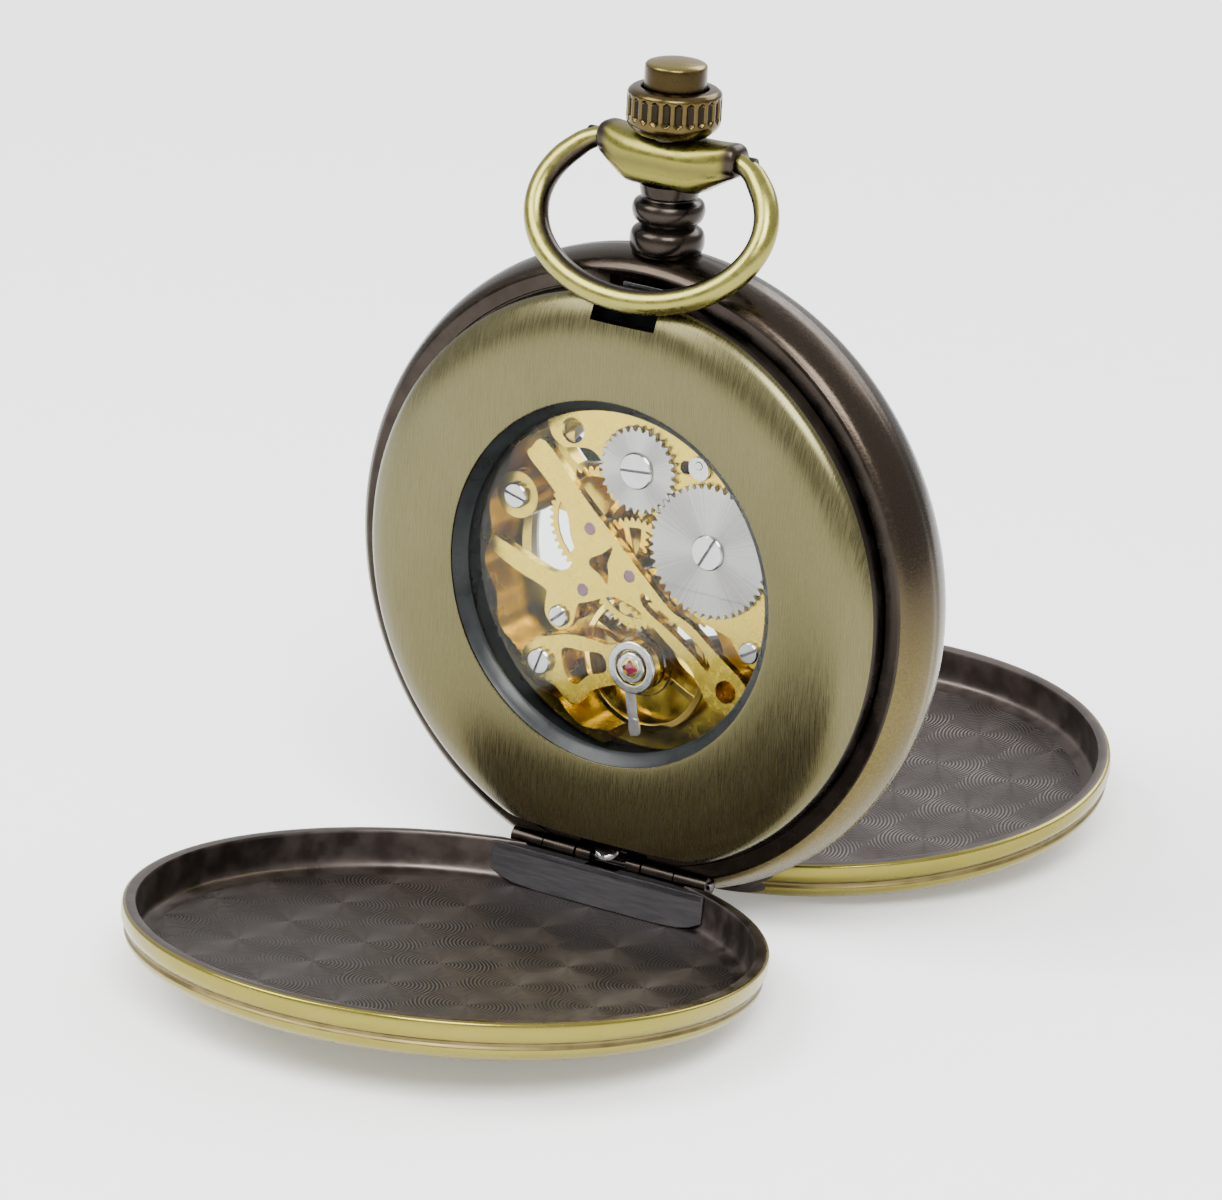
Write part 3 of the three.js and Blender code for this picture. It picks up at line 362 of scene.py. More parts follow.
# Browner and darker than the lid bronze: painted shade in the lid's groove.
GROOVE = polished("lid_groove", rgb(0.190, 0.150, 0.062), rough=0.42)
LID_WALL = polished("lid_wall", rgb(0.105, 0.086, 0.078), rough=0.40)
PERLAGE = perlage("perlage_dark", rgb(0.140, 0.120, 0.113), rgb(0.068, 0.057, 0.053))
GREY_PLATE = brushed("hinge_grey", rgb(0.108, 0.105, 0.112), rgb(0.090, 0.088, 0.094), ACROSS, rough=0.45)
# A much brighter bronze for the thin lip round each crystal window: a painted highlight.
EDGE = polished("bright_edge", rgb(0.50, 0.46, 0.20), rough=0.18, spots=0.15)
GILT = brushed(
    "gilt_plate", rgb(0.63, 0.455, 0.060), rgb(0.59, 0.415, 0.050), EVEN, rough=0.24, strength=0.02,
)
# Brighter than the plate gilt: on the bevels it is a painted highlight; the balance wheel and the shock clip
# wear it whole.
GILT_EDGE = polished("gilt_bevel", rgb(1.0, 0.74, 0.18), rough=0.10, spots=0.1)
# A darker copy of the gilt for the recessed main plate: painted shade.
GILT_DEEP = polished("gilt_deep", rgb(0.60, 0.42, 0.055), rough=0.22, spots=0.3)
STEEL = polished("polished_steel", rgb(0.56, 0.54, 0.525), rough=0.2, spots=0.15)
# Dark steel for pins, springs and the catch; in the screws' slots it is painted shade.
STEEL_DARK = polished("dark_steel", rgb(0.12, 0.115, 0.115), rough=0.25)
# Brighter than the steel: on the bevels it is a painted highlight; the shock setting's seat wears it whole.
STEEL_EDGE = polished("steel_edge", rgb(0.66, 0.645, 0.63), rough=0.15, spots=0.1)
JEWEL = polished("jewel_mauve", rgb(0.15, 0.055, 0.085), rough=0.3, metallic=0.0, coat=0.3)
RUBY = polished("ruby_red", rgb(0.20, 0.004, 0.03), rough=0.08, metallic=0.0, coat=0.8)
BLACK = polished("black_ring", rgb(0.010, 0.012, 0.012), rough=0.3, metallic=0.0, shine=0.22)
BLUED = polished("blued_steel", rgb(0.03, 0.06, 0.22), rough=0.2)
ENAMEL = polished("dial_enamel", rgb(0.86, 0.85, 0.80), rough=0.3, metallic=0.0, spots=0.03, coat=0.3)
INK = polished("dial_ink", rgb(0.02, 0.02, 0.025), rough=0.5, metallic=0.0)
GLASS = crystal("crystal_glass")
GILDED = [GILT, GILT_EDGE]
STEELED = [STEEL, STEEL_EDGE]


# ---- outlines
def polar(centre, radius, angle):
    return (centre[0] + radius * math.cos(angle), centre[1] + radius * math.sin(angle))


def arc(radius, start, end, steps, centre=CENTRE):
    """Points on an arc between two angles in degrees."""
    return [polar(centre, radius, math.radians(start + (end - start) * i / steps)) for i in range(steps + 1)]


def circle(radius, centre=CENTRE, steps=SMALL):
    return arc(radius, 0.0, 360.0, steps, centre)[:-1]


def smooth(points, parts=5, closed=True):
    """A Catmull-Rom curve through the points."""
    count = len(points)
    made = []
    spans = count if closed else count - 1
    for i in range(spans):
        picks = [i - 1, i, i + 1, i + 2]
        if closed:
            picks = [k % count for k in picks]
        else:
            picks = [min(max(k, 0), count - 1) for k in picks]
        p0, p1, p2, p3 = (Vector(points[k]) for k in picks)
        for k in range(parts):
            t = k / parts
            a = 2 * p1 + (p2 - p0) * t
            b = (2 * p0 - 5 * p1 + 4 * p2 - p3) * t * t
            c = (3 * p1 - p0 - 3 * p2 + p3) * t**3
            made.append(tuple((a + b + c) / 2))
    if not closed:
        made.append(tuple(points[-1]))
    return made


def turned_round(points, centre, degrees):
    """Points given about a centre's own origin, turned and moved to the centre."""
    a = math.radians(degrees)
    return [
        (centre[0] + x * math.cos(a) - z * math.sin(a), centre[1] + x * math.sin(a) + z * math.cos(a))
        for x, z in points
    ]


# ---- meshes
def lathe(profile, steps=FINE, closed=True, upright=False):
    """Turns (radius, height, material index) points round the watch axis, or round Z."""
    bm = bmesh.new()
    rings = []
    for point in profile:
        radius, height = point[0], point[1]
        count = steps if radius > 1e-6 else 1
        ring = []
        for i in range(count):
            a = 2 * math.pi * i / steps
            x, z = radius * math.cos(a), radius * math.sin(a)
            ring.append(bm.verts.new((x, z, height) if upright else (x, height, z)))
        rings.append(ring)
    pairs = list(zip(rings, rings[1:]))
    if closed:
        pairs.append((rings[-1], rings[0]))
    for k, (low, high) in enumerate(pairs):
        index = profile[k][2] if len(profile[k]) > 2 else 0
        for i in range(steps):
            j = (i + 1) % steps
            corners = []
            for ring, at in ((low, i), (low, j), (high, j), (high, i)):
                corner = ring[at % len(ring)]
                if corner not in corners:
                    corners.append(corner)
            if len(corners) > 2:
                bm.faces.new(corners).material_index = index
    bmesh.ops.recalc_face_normals(bm, faces=bm.faces)
    return bm


def prism(outline, y0, y1, holes=(), index=0):
    """A flat plate in the XZ plane between two y levels."""
    loops = [list(outline), *(list(h) for h in holes)]
    flat = [Vector((x, z, 0.0)) for loop in loops for x, z in loop]
    bm = bmesh.new()
    low = [bm.verts.new((p.x, y0, p.y)) for p in flat]
    high = [bm.verts.new((p.x, y1, p.y)) for p in flat]
    vectors = [[Vector((x, z, 0.0)) for x, z in loop] for loop in loops]
    for a, b, c in tessellate_polygon(vectors):
        for side in (low, high):
            bm.faces.new((side[a], side[b], side[c]))
    at = 0
    for loop in loops:
        for i in range(len(loop)):
            a, b = at + i, at + (i + 1) % len(loop)
            bm.faces.new((low[a], low[b], high[b], high[a]))
        at += len(loop)
    for face in bm.faces:
        face.material_index = index
    bmesh.ops.recalc_face_normals(bm, faces=bm.faces)
    return bm


def solid(profile, steps=SMALL, upright=False):
    """A lathe whose profile starts and ends on the axis."""
    return lathe(profile, steps, closed=False, upright=upright)


def tube(inner, outer, y0, y1, centre=CENTRE, steps=SMALL):
    return at_centre(lathe([(inner, y0), (outer, y0), (outer, y1), (inner, y1)], steps), centre)


def rod(radius, y0, y1, centre, steps=24, index=0):
    profile = [(0.0, y0, index), (radius, y0, index), (radius, y1, index), (0.0, y1, index)]
    return at_centre(solid(profile, steps), centre)


def skin(bm, rings, end_index=0):
    """Faces between neighbouring rings and over the two ends."""
    for low, high in zip(rings, rings[1:]):
        for k in range(len(low)):
            n = (k + 1) % len(low)
            bm.faces.new((low[k], low[n], high[n], high[k]))
    for ring in (rings[0], rings[-1]):
        bm.faces.new(ring).material_index = end_index
    bmesh.ops.recalc_face_normals(bm, faces=bm.faces)
    return bm


def block(x0, x1, y0, y1, z0, z1, index=0):
    return prism([(x0, z0), (x1, z0), (x1, z1), (x0, z1)], y0, y1, index=index)


def sweep(path, radii, side, sections):
    """A tube along 3-D points; side is a direction that is never along the path."""
    bm = bmesh.new()
    rings = []
    for i, point in enumerate(path):
        before, after = Vector(path[max(i - 1, 0)]), Vector(path[min(i + 1, len(path) - 1)])
        along = (after - before).normalized()
        across = along.cross(Vector(side)).normalized()
        up = across.cross(along)
        ring = []
        for k in range(sections):
            a = 2 * math.pi * k / sections
            ring.append(bm.verts.new(Vector(point) + (across * math.cos(a) + up * math.sin(a)) * radii[i]))
        rings.append(ring)
    return skin(bm, rings)


def rod_x(radius, x0, x1, y, z, steps=SMALL, index=0):
    """A rod that lies along X."""
    bm = solid([(0.0, x0), (radius, x0), (radius, x1), (0.0, x1)], steps, upright=True)
    bmesh.ops.transform(bm, matrix=Matrix.Rotation(math.pi / 2, 4, "Y"), verts=bm.verts)
    bmesh.ops.translate(bm, vec=(0.0, y, z), verts=bm.verts)
    for face in bm.faces:
        face.material_index = index
    return bm


def moved(bm, vec):
    bmesh.ops.translate(bm, vec=vec, verts=bm.verts)
    return bm


def at_centre(bm, centre):
    return moved(bm, (centre[0], 0.0, centre[1]))


def together(*parts):
    """One mesh that holds every part."""
    target = parts[0]
    for part in parts[1:]:
        held = bpy.data.meshes.new("held")
        part.to_mesh(held)
        part.free()
        target.from_mesh(held)
        bpy.data.meshes.remove(held)
    return target


def carved(bm, *tools):
    """The mesh with each tool cut out of it."""
    for tool in tools:
        objects = []
        for source in (bm, tool):
            mesh = bpy.data.meshes.new("carve")
            source.to_mesh(mesh)
            source.free()
            thing = bpy.data.objects.new("carve", mesh)
            for _ in range(4):
                mesh.materials.append(None)
            bpy.context.collection.objects.link(thing)
            objects.append(thing)
        cut = objects[0].modifiers.new("cut", "BOOLEAN")
        cut.object = objects[1]
        cut.operation = "DIFFERENCE"
        cut.solver = "MANIFOLD"
        graph = bpy.context.evaluated_depsgraph_get()
        bm = bmesh.new()
        bm.from_mesh(objects[0].evaluated_get(graph).to_mesh())
        for thing in objects:
            bpy.data.objects.remove(thing)
    return bm


FLAT_CAP = 0.99999  # faces square to the watch axis stay flat


def in_cap(edge):
    """True between two flat faces of one finish that lie square to the watch axis."""
    faces = edge.link_faces
    if len(faces) != 2 or faces[0].material_index != faces[1].material_index:
        return False
    return all(abs(face.normal.y) > FLAT_CAP for face in faces)


def piece(node, bm, materials, bevel=0.0, bevel_index=None, turn=None, sharp=32.0):
    """Puts a mesh into the frame in place of a CAD node."""
    bmesh.ops.remove_doubles(bm, verts=bm.verts, dist=1e-4)
    bm.normal_update()
    bmesh.ops.dissolve_limit(bm, angle_limit=1e-4, verts=[], edges=[e for e in bm.edges if in_cap(e)])
    bm.normal_update()
    for face in bm.faces:
        face.smooth = abs(face.normal.y) < FLAT_CAP
    if turn:
        bmesh.ops.transform(bm, matrix=turn, verts=bm.verts)
    moved(bm, (0.0, 0.0, CENTRE_HEIGHT))
    bmesh.ops.scale(bm, vec=(MM, MM, MM), verts=bm.verts)
    limit = math.radians(sharp)
    for edge in bm.edges:
        edge.smooth = edge.calc_face_angle(0.0) < limit
    mesh = bpy.data.meshes.new(node + "_look")
    bm.to_mesh(mesh)
    bm.free()
    made = bpy.data.objects.new(mesh.name, mesh)
    bpy.context.collection.objects.link(made)
    for material in materials:
        mesh.materials.append(material)
    if bevel:
        rounding = made.modifiers.new("bevel", "BEVEL")
        rounding.width = bevel * MM
        rounding.segments = 2
        rounding.limit_method = "ANGLE"
        rounding.angle_limit = limit
        rounding.harden_normals = True
        if bevel_index is not None:
            rounding.material = bevel_index
    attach(made, BODY_OF[node])
    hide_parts(node)


def edged(node, bm, materials, bevel):
    """A piece whose bevels wear the second material, a brighter copy that paints a highlight on the bevels.
    """
    piece(node, bm, materials, bevel, bevel_index=1)


def about_line(y, z, angle):
    """A turn about a line along X through (y, z)."""
    return Matrix.Translation((0, y, z)) @ Matrix.Rotation(angle, 4, "X") @ Matrix.Translation((0, -y, -z))


# ---- gears
class Gear:
    """Tooth count, centre and phase, so that meshing wheels stay in step."""

    def __init__(self, centre, teeth, radius, phase=0.0):
        self.centre, self.teeth, self.radius, self.phase = centre, teeth, radius, phase

    def drives(self, centre, teeth):
        dx, dz = centre[0] - self.centre[0], centre[1] - self.centre[1]
        line = math.atan2(dz, dx)
        part = (line - self.phase) * self.teeth / (2 * math.pi)
        radius = math.hypot(dx, dz) * teeth / (self.teeth + teeth)
        return Gear(centre, teeth, radius, line + math.pi - (2 * math.pi / teeth) * (0.5 - part))

    def outline(self, flat=False):
        module = 2 * self.radius / self.teeth
        tip, root = self.radius + 0.75 * module, self.radius - module
        middle = self.radius + 0.2 * module
        pattern = [
            (root, -0.5), (root, -0.36), (middle, -0.2), (tip, -0.04), (tip, 0.04), (middle, 0.2),
            (root, 0.36),
        ]
        if flat:
            pattern = [(root, -0.36), (tip, -0.13), (tip, 0.13), (root, 0.36)]
        pitch = 2 * math.pi / self.teeth
        points = []
        for i in range(self.teeth):
            for r, k in pattern:
                a = self.phase + (i + k) * pitch
                points.append(polar(self.centre, r, a))
        return points

    def wheel(self, y0, y1, holes=(), flat=False, index=0):
        return prism(self.outline(flat), y0, y1, holes, index)

    def spokes(self, inner, rim, count, width, start=0.0):
        """The openings between spokes."""
        outer = self.radius - rim
        holes = []
        for i in range(count):
            middle = start + 2 * math.pi * (i + 0.5) / count
            hole = []
            for radius, order in ((outer, (-1, 1)), (inner, (1, -1))):
                half = math.pi / count - width / 2 / radius
                for k in range(7):
                    a = middle + half * (order[0] + (order[1] - order[0]) * k / 6)
                    hole.append(polar(self.centre, radius, a))
            holes.append(hole)
        return holes


def first_pair(a, b, teeth_a, teeth_b, phase=0.0):
    distance = math.hypot(b[0] - a[0], b[1] - a[1])
    return Gear(a, teeth_a, distance * teeth_a / (teeth_a + teeth_b), phase)


CROWN_GEAR = first_pair(CROWN_WHEEL, BARREL, 30, 47, 0.1)
RATCHET_GEAR = CROWN_GEAR.drives(BARREL, 47)
CENTRE_PINION = first_pair(CENTRE, BARREL, 10, 50)
BARREL_GEAR = CENTRE_PINION.drives(BARREL, 50)
CENTRE_GEAR = first_pair(CENTRE, THIRD, 48, 6)
THIRD_PINION = CENTRE_GEAR.drives(THIRD, 6)
THIRD_GEAR = first_pair(THIRD, FOURTH, 45, 6)
FOURTH_PINION = THIRD_GEAR.drives(FOURTH, 6)
FOURTH_GEAR = first_pair(FOURTH, ESCAPE, 48, 6)
ESCAPE_PINION = FOURTH_GEAR.drives(ESCAPE, 6)
CANNON_GEAR = first_pair(CENTRE, MINUTE_WHEEL, 8, 24)
MINUTE_GEAR = CANNON_GEAR.drives(MINUTE_WHEEL, 24)
HOUR_GEAR = first_pair(CENTRE, MINUTE_WHEEL, 32, 8)
MINUTE_PINION = HOUR_GEAR.drives(MINUTE_WHEEL, 8)

# ---- case
def mirrored(profile, side):
    return [(p[0], side * p[1], *p[2:]) for p in profile]


def span(side, near, far):
    """Two levels on one side of the case, lowest y first."""
    return sorted((side * near, side * far))


def filleted(points, parts=6):
    """An open curve through the points."""
    return smooth(points, parts, closed=False)


def finished(points, index):
    """Profile points whose faces get the material at that index."""
    return [(r, y, index) for r, y in points]


def mid_case():
    half = [(22.5, 2.95), (22.95, 2.55), (23.4, 1.65), (23.66, 0.6)]
    convex = filleted(mirrored(half, -1) + [(23.68, 0.0)] + half[::-1])
    # The seat ledges and the hinge cuts wear the dark material: painted shade between the band and the
    # bezels.
    steps = [(22.3, 3.0, 1), (21.35, 3.0, 1), (21.3, 2.9, 1), (20.5, 2.9, 1)]
    band = lathe(convex + steps + mirrored(steps, -1)[::-1])
    tools = []
    for side in (-1, 1):
        tools.append(rod_x(1.0, -2.85, 2.85, side * HINGE_Y, HINGE_Z, index=1))
        tools.append(block(-1.3, 1.3, *span(side, 1.4, 3.2), -21.6, -19.5, index=1))
        tools.append(block(-2.7, 2.7, *span(side, 1.5, 3.3), 20.2, 21.9, index=1))
    band = carved(band, *tools)
    barrels = []
    for side in (-1, 1):
        for x0, x1 in ((-8.3, -5.65), (-5.55, -2.9), (2.9, 5.55), (5.65, 8.3)):
            barrels.append(rod_x(KNUCKLE_R, x0, x1, side * HINGE_Y, HINGE_Z, index=2))
    piece("mid_case", together(band, *barrels), [BAND, DARK, DARK], bevel=0.05)


def bezel(node, side, window, crest):
    """The ring that holds a crystal; crest is its convex outer face from the window outwards."""
    ledge = window + 0.85
    profile = filleted(crest + [(20.35, 4.98), (20.85, 4.6), (21.02, 4.3)], 8)
    # The skirt, the seat and the notch and chord cuts wear the dark material: painted shade.
    profile += [
        (21.06, 4.22, 2), (21.2, 3.06, 1), (20.4, 3.06, 1), (20.1, 4.0, 1), (19.0, 4.72, 1),
        (ledge, 4.78, 1), (ledge, 3.72, 1), (window, 3.72, 1), (window, 5.4, 3),
    ]
    body = lathe(mirrored(profile, side))
    near, far = span(side, 2.9, 6.4)
    notch = block(-2.65, 2.65, near, far, 19.05, 22.5, index=1)
    chord = block(-13, 13, near, far, -23, -19.3, index=1)
    # The thin lip round the window wears the bright edge colour: a painted highlight.
    piece(node, carved(body, notch, chord), [BRONZE, DARK, DARK, EDGE], bevel=0.05)


def gasket(node, side, window):
    profile = [
        (window - 0.06, 5.42), (window - 0.3, 5.2), (window - 0.75, 4.95), (window - 0.95, 4.62),
        (window - 0.06, 4.62),
    ]
    piece(node, lathe(mirrored(profile, side)), [BLACK])


def glass(node, side, radius):
    profile = [(0.0, 3.86), (radius, 3.86), (radius, 4.5), (0.0, 4.52)]
    piece(node, solid(mirrored(profile, side), FINE), [GLASS])


mid_case()
bezel(
    "back_bezel", -1, BACK_WINDOW_R, [(13.43, 5.5), (13.55, 5.6), (15.4, 5.74), (17.6, 5.71), (19.2, 5.46)],
)
bezel("front_bezel", 1, FRONT_WINDOW_R, [(17.0, 5.35), (17.12, 5.48), (18.3, 5.6), (19.4, 5.4)])
gasket("back_gasket", -1, BACK_WINDOW_R)
gasket("front_gasket", 1, FRONT_WINDOW_R)
glass("back_crystal", -1, BACK_WINDOW_R - 0.08)
glass("front_crystal", 1, FRONT_WINDOW_R - 0.08)
holder = [
    (13.98, -3.55), (14.1, -3.6), (16.9, -3.6), (16.95, -1.9), (20.3, -1.9), (20.33, 1.95), (14.2, 1.98),
    (13.98, 1.9),
]
piece("movement_ring", carved(lathe(holder), block(-0.8, 0.8, -0.8, 0.8, 12, 21)), [BLACK])


# ---- covers
def opened(side):
    return about_line(side * HINGE_Y, HINGE_Z, -side * COVER_OPEN)


def cover(node, side):
    """A shallow lid: rim band, groove, and a softly domed outer face with a flat middle."""
    wall = filleted([(20.9, 2.9), (21.35, 2.7), (21.54, 2.2), (21.56, 1.2), (21.56, 0.15)], 5)
    band = filleted(
        [(22.3, 0.02), (22.5, 0.12), (22.56, 0.4), (22.56, 0.85), (22.48, 1.15), (22.32, 1.4)], 4,
    )
    # The groove wears the darker groove colour: painted shade.
    valley = filleted([(22.3, 1.44), (22.2, 1.55), (22.17, 1.66), (22.2, 1.78), (22.27, 1.88)], 4)
    dome = filleted(
        [(22.3, 1.98), (22.2, 2.3), (21.7, 2.8), (20.7, 3.22), (18.6, 3.6), (16.0, 3.79), (14.0, 3.84)], 6,
    )
    profile = [(0.0, 3.25, 2), (14.0, 3.25, 2), (20.4, 3.02, 1)] + finished(wall, 1)
    profile += [(21.62, 0.04, 1), (21.9, 0.0, 1)] + band + finished(valley, 3) + dome + [(0.0, 3.84)]
    shell = solid([(r, side * (MATE_Y + d), *index) for r, d, *index in profile], FINE)
    near, far = span(side, 2.8, 8.0)
    chord = block(-24, 24, near, far, -24, -20.5, index=1)
    piece(node, carved(shell, chord), [LID, LID_WALL, PERLAGE, GROOVE], turn=opened(side))


def side_block(side, x0, x1, depth0, depth1, z0, z1, index=0):
    """A block between two depths past a cover's mating plane."""
    near, far = span(side, MATE_Y + depth0, MATE_Y + depth1)
    return block(x0, x1, near, far, z0, z1, index)


def hinge_plate(node, side):
    """Grey plate and wall that close the cover's straight side, cut to the inside of the rim."""
    rim_radius, straight_side = 21.3, 20.5
    half_width = math.sqrt(rim_radius**2 - straight_side**2)
    plate_ends = [(-half_width, -straight_side), (half_width, -straight_side), (8.9, -19.46), (-8.9, -19.46)]
    low, high = span(side, MATE_Y + 0.12, MATE_Y + 0.64)
    # The notch's faces wear the dark material: painted shade.
    notch = side_block(side, -1.3, 1.3, -0.1, 0.95, -20.7, -19.79, 1)
    parts = [carved(prism(plate_ends, low, high), notch)]
    half_wall = [(9.0, 0.12), (9.0, 2.2), (8.0, 2.65), (7.0, 2.9), (5.0, 3.02)]
    outline = [(x, -d) for x, d in half_wall] + [(-x, -d) for x, d in reversed(half_wall)]
    wall = prism(outline, 19.46, 19.78)
    stand = Matrix(((1, 0, 0, 0), (0, 0, -side, side * MATE_Y), (0, -1, 0, 0), (0, 0, 0, 1)))
    bmesh.ops.transform(wall, matrix=stand, verts=wall.verts)
    bmesh.ops.recalc_face_normals(wall, faces=wall.faces)
    parts.append(wall)
    for x0, x1 in ((-2.75, -1.5), (1.5, 2.75)):
        parts.append(rod_x(KNUCKLE_R, x0, x1, side * HINGE_Y, HINGE_Z, index=1))
        parts.append(block(x0, x1, low, high, HINGE_Z, -20.4, index=1))
    piece(node, together(*parts), [GREY_PLATE, DARK], bevel=0.06, turn=opened(side))


def lift_spring(node, side):
    """A leaf that comes out of the case and bends down over the hinge plate, with a round tip."""
    centre_line = filleted(
        [(1.5, -20.78), (2.55, -20.76), (3.05, -20.05), (3.3, -19.98), (3.7, -20.3), (4.3, -20.9)], 5,
    )
    half_width, round_part = 1.03, 0.25
    bm = bmesh.new()
    rows = []
    for i, (y, z) in enumerate(centre_line):
        left = 1.0 - i / (len(centre_line) - 1)
        half = half_width
        if left < round_part:
            half *= math.sqrt(max(0.05, 1 - (1 - left / round_part) ** 2))
        across = (-half, -half * 0.4, half * 0.4, half)
        rows.append([bm.verts.new((x, side * y, z + t)) for t in (0.14, -0.14) for x in across])
    for a, b in zip(rows, rows[1:]):
        for k in range(3):
            bm.faces.new((a[k], a[k + 1], b[k + 1], b[k]))
            bm.faces.new((a[k + 4], a[k + 5], b[k + 5], b[k + 4]))
        bm.faces.new((a[0], b[0], b[4], a[4]))
        bm.faces.new((a[3], b[3], b[7], a[7]))
    for row in (rows[0], rows[-1]):
        bm.faces.new((row[0], row[1], row[2], row[3], row[7], row[6], row[5], row[4]))
    bmesh.ops.recalc_face_normals(bm, faces=bm.faces)
    piece(node, bm, [STEEL], sharp=50)


def catch(node, side):
    foot = block(-1.7, 1.7, *span(side, 1.7, 2.9), 20.9, 21.5)
    hook = block(-1.3, 1.3, *span(side, 2.5, 4.1), 20.78, 21.38)
    piece(node, together(foot, hook), [STEEL_DARK], bevel=0.12)


for name, side in (("back", -1), ("front", 1)):
    cover(f"{name}_cover", side)
    hinge_plate(f"{name}_hinge_plate", side)
    lift_spring(f"{name}_lift_spring", side)
    catch(f"{name}_catch", side)
    piece(f"{name}_hinge_pin", rod_x(0.3, -8.5, 8.5, side * HINGE_Y, HINGE_Z, 24), [STEEL_DARK], bevel=0.08)


# ---- pendant, bow, crown
def pendant_head():
    """The winged head: sections along X that widen to the middle and carry the bow's pins.
    Each section is a rounded block with a crease across its two faces."""
    half_stations = [
        # x, lowest z, highest z, half thickness
        (0.0, 28.15, 31.85, 2.30), (1.4, 28.15, 31.86, 2.28), (2.5, 28.17, 31.88, 2.15),
        (3.0, 28.3, 31.9, 2.05), (3.6, 28.65, 31.93, 1.88), (4.4, 29.12, 32.0, 1.62),
        (5.1, 29.52, 32.08, 1.34), (5.5, 29.74, 31.95, 1.2), (5.7, 29.95, 31.7, 1.02),
    ]
    stations = [(-x, *rest) for x, *rest in reversed(half_stations[1:])] + half_stations
    bm = bmesh.new()
    rings = []
    count = 48
    for x, low, high, half in smooth(stations, 3, closed=False):
        middle, tall = (low + high) / 2, (high - low) / 2
        ring = []
        for k in range(count):
            a = 2 * math.pi * k / count
            c, s = math.cos(a), math.sin(a)
            z = middle + tall * math.copysign(abs(s) ** (0.8 if s > 0 else 0.55), s)
            crease = 0.2 * max(0.0, 1.0 - abs(z - 30.05) / 0.42) * min(1.0, abs(c) * 2)
            y = (half - crease) * math.copysign(abs(c) ** 0.62, c)
            ring.append(bm.verts.new((x, y, z)))
        rings.append(ring)
    return skin(bm, rings, end_index=1)


def pendant():
    beads = filleted([
        (2.3, 23.3), (2.58, 23.7), (2.66, 24.4), (2.5, 25.0), (1.97, 25.42), (2.0, 25.5), (2.42, 25.85),
        (2.6, 26.5), (2.45, 27.05), (1.98, 27.36), (2.05, 27.6), (2.2, 28.4),
    ])
    neck = solid(finished([(0.0, 23.25)] + beads + [(0.0, 28.5)], 1), MEDIUM, upright=True)
    sleeve = solid(finished([(0.0, 30.0), (1.58, 30.0), (1.58, 31.95), (0.0, 31.95)], 1), upright=True)
    piece("pendant", together(pendant_head(), neck, sleeve), [HEAD_METAL, DARK], sharp=50)


def bow():
    """An oval of round wire that thins evenly towards the two ends in the pendant's ears."""
    half = [(5.35, 0.0), (6.2, 0.24), (6.95, 0.66)]
    for degrees in range(-36, 91, 9):
        a = math.radians(degrees)
        half.append((BOW_HALF_WIDTH * math.cos(a), BOW_DROP + BOW_HALF_HEIGHT * math.sin(a)))
    whole = half + [(-x, v) for x, v in reversed(half[:-1])]
    line = smooth(whole, 4, closed=False)
    path = [(x, 0.0, PIVOT_Z - v) for x, v in line]
    radii = [0.9 - 0.2 * (1.0 - min(1.0, v / 2.2)) ** 2 for _, v in line]
    tube = sweep(path, radii, (0, 1, 0), 28)
    piece("bow", tube, [BOW_METAL], turn=about_line(0.0, PIVOT_Z, -BOW_TILT), sharp=60)


def bow_pin(node, x0, x1):
    piece(
        node, rod_x(0.53, x0, x1, 0.0, PIVOT_Z, 24), [DARK], turn=about_line(0.0, PIVOT_Z, -BOW_TILT),
        bevel=0.08,
    )


def crown():
    """A knob with pointed six-sided flutes sunk into its side, over a rounded skirt."""
    flutes, around, levels = 24, 24 * 10, 36
    bottom, top = 32.0, 35.25
    radius, skirt, shoulder = 3.34, 1.05, 0.4
    flute_low, flute_high, flute_depth, point = 33.05, 34.85, 0.24, 0.35
    rings = []
    bm = bmesh.new()
    for k in range(levels + 1):
        z = bottom + (top - bottom) * k / levels
        under = max(0.0, flute_low - z) / skirt
        over = max(0.0, z - flute_high) / shoulder
        outer = radius - 0.78 * under**2 - 0.36 * over**2
        ring = []
        for i in range(around):
            across = abs((i / around * flutes) % 1.0 - 0.5) * 2
            reach = min(z - flute_low, flute_high - z) - point * across
            inside = min(reach / 0.12, (0.66 - across) / 0.16)
            depth = flute_depth * min(1.0, max(0.0, inside))
            x, y = polar(CENTRE, outer - depth, 2 * math.pi * i / around)
            ring.append((bm.verts.new((x, y, z)), depth))
        rings.append(ring)
    for low, high in zip(rings, rings[1:]):
        for i in range(around):
            n = (i + 1) % around
            corners = (low[i], low[n], high[n], high[i])
            face = bm.faces.new([v for v, _ in corners])
            # The deepest flute faces wear the near-black material: painted shade.
            face.material_index = 1 if sum(d for _, d in corners) > 0.6 else 0
    # The hollow round the button wears it too: painted shade in the gap.
    hollow = finished([(2.56, bottom), (0.58, bottom), (0.58, 33.1), (2.34, 33.1)], 1)
    inner = lathe(hollow + [(2.34, 35.1), (2.45, 35.28), (2.98, top)], around, closed=False, upright=True)
    piece("crown", together(bm, inner), [CROWN_METAL, DARKER], sharp=60)


def push_button():
    wall = filleted(
        [(2.15, 34.42), (2.2, 34.6), (2.21, 35.6), (2.21, 36.7), (2.12, 36.95), (1.95, 37.05)], 4,
    )
    top = filleted([(1.8, 37.1), (1.2, 37.24), (0.6, 37.31), (0.0, 37.33)], 4)
    shape = solid([(0.0, 34.42)] + wall + top, MEDIUM, upright=True)
    piece("push_button", shape, [BUTTON_METAL], sharp=50)


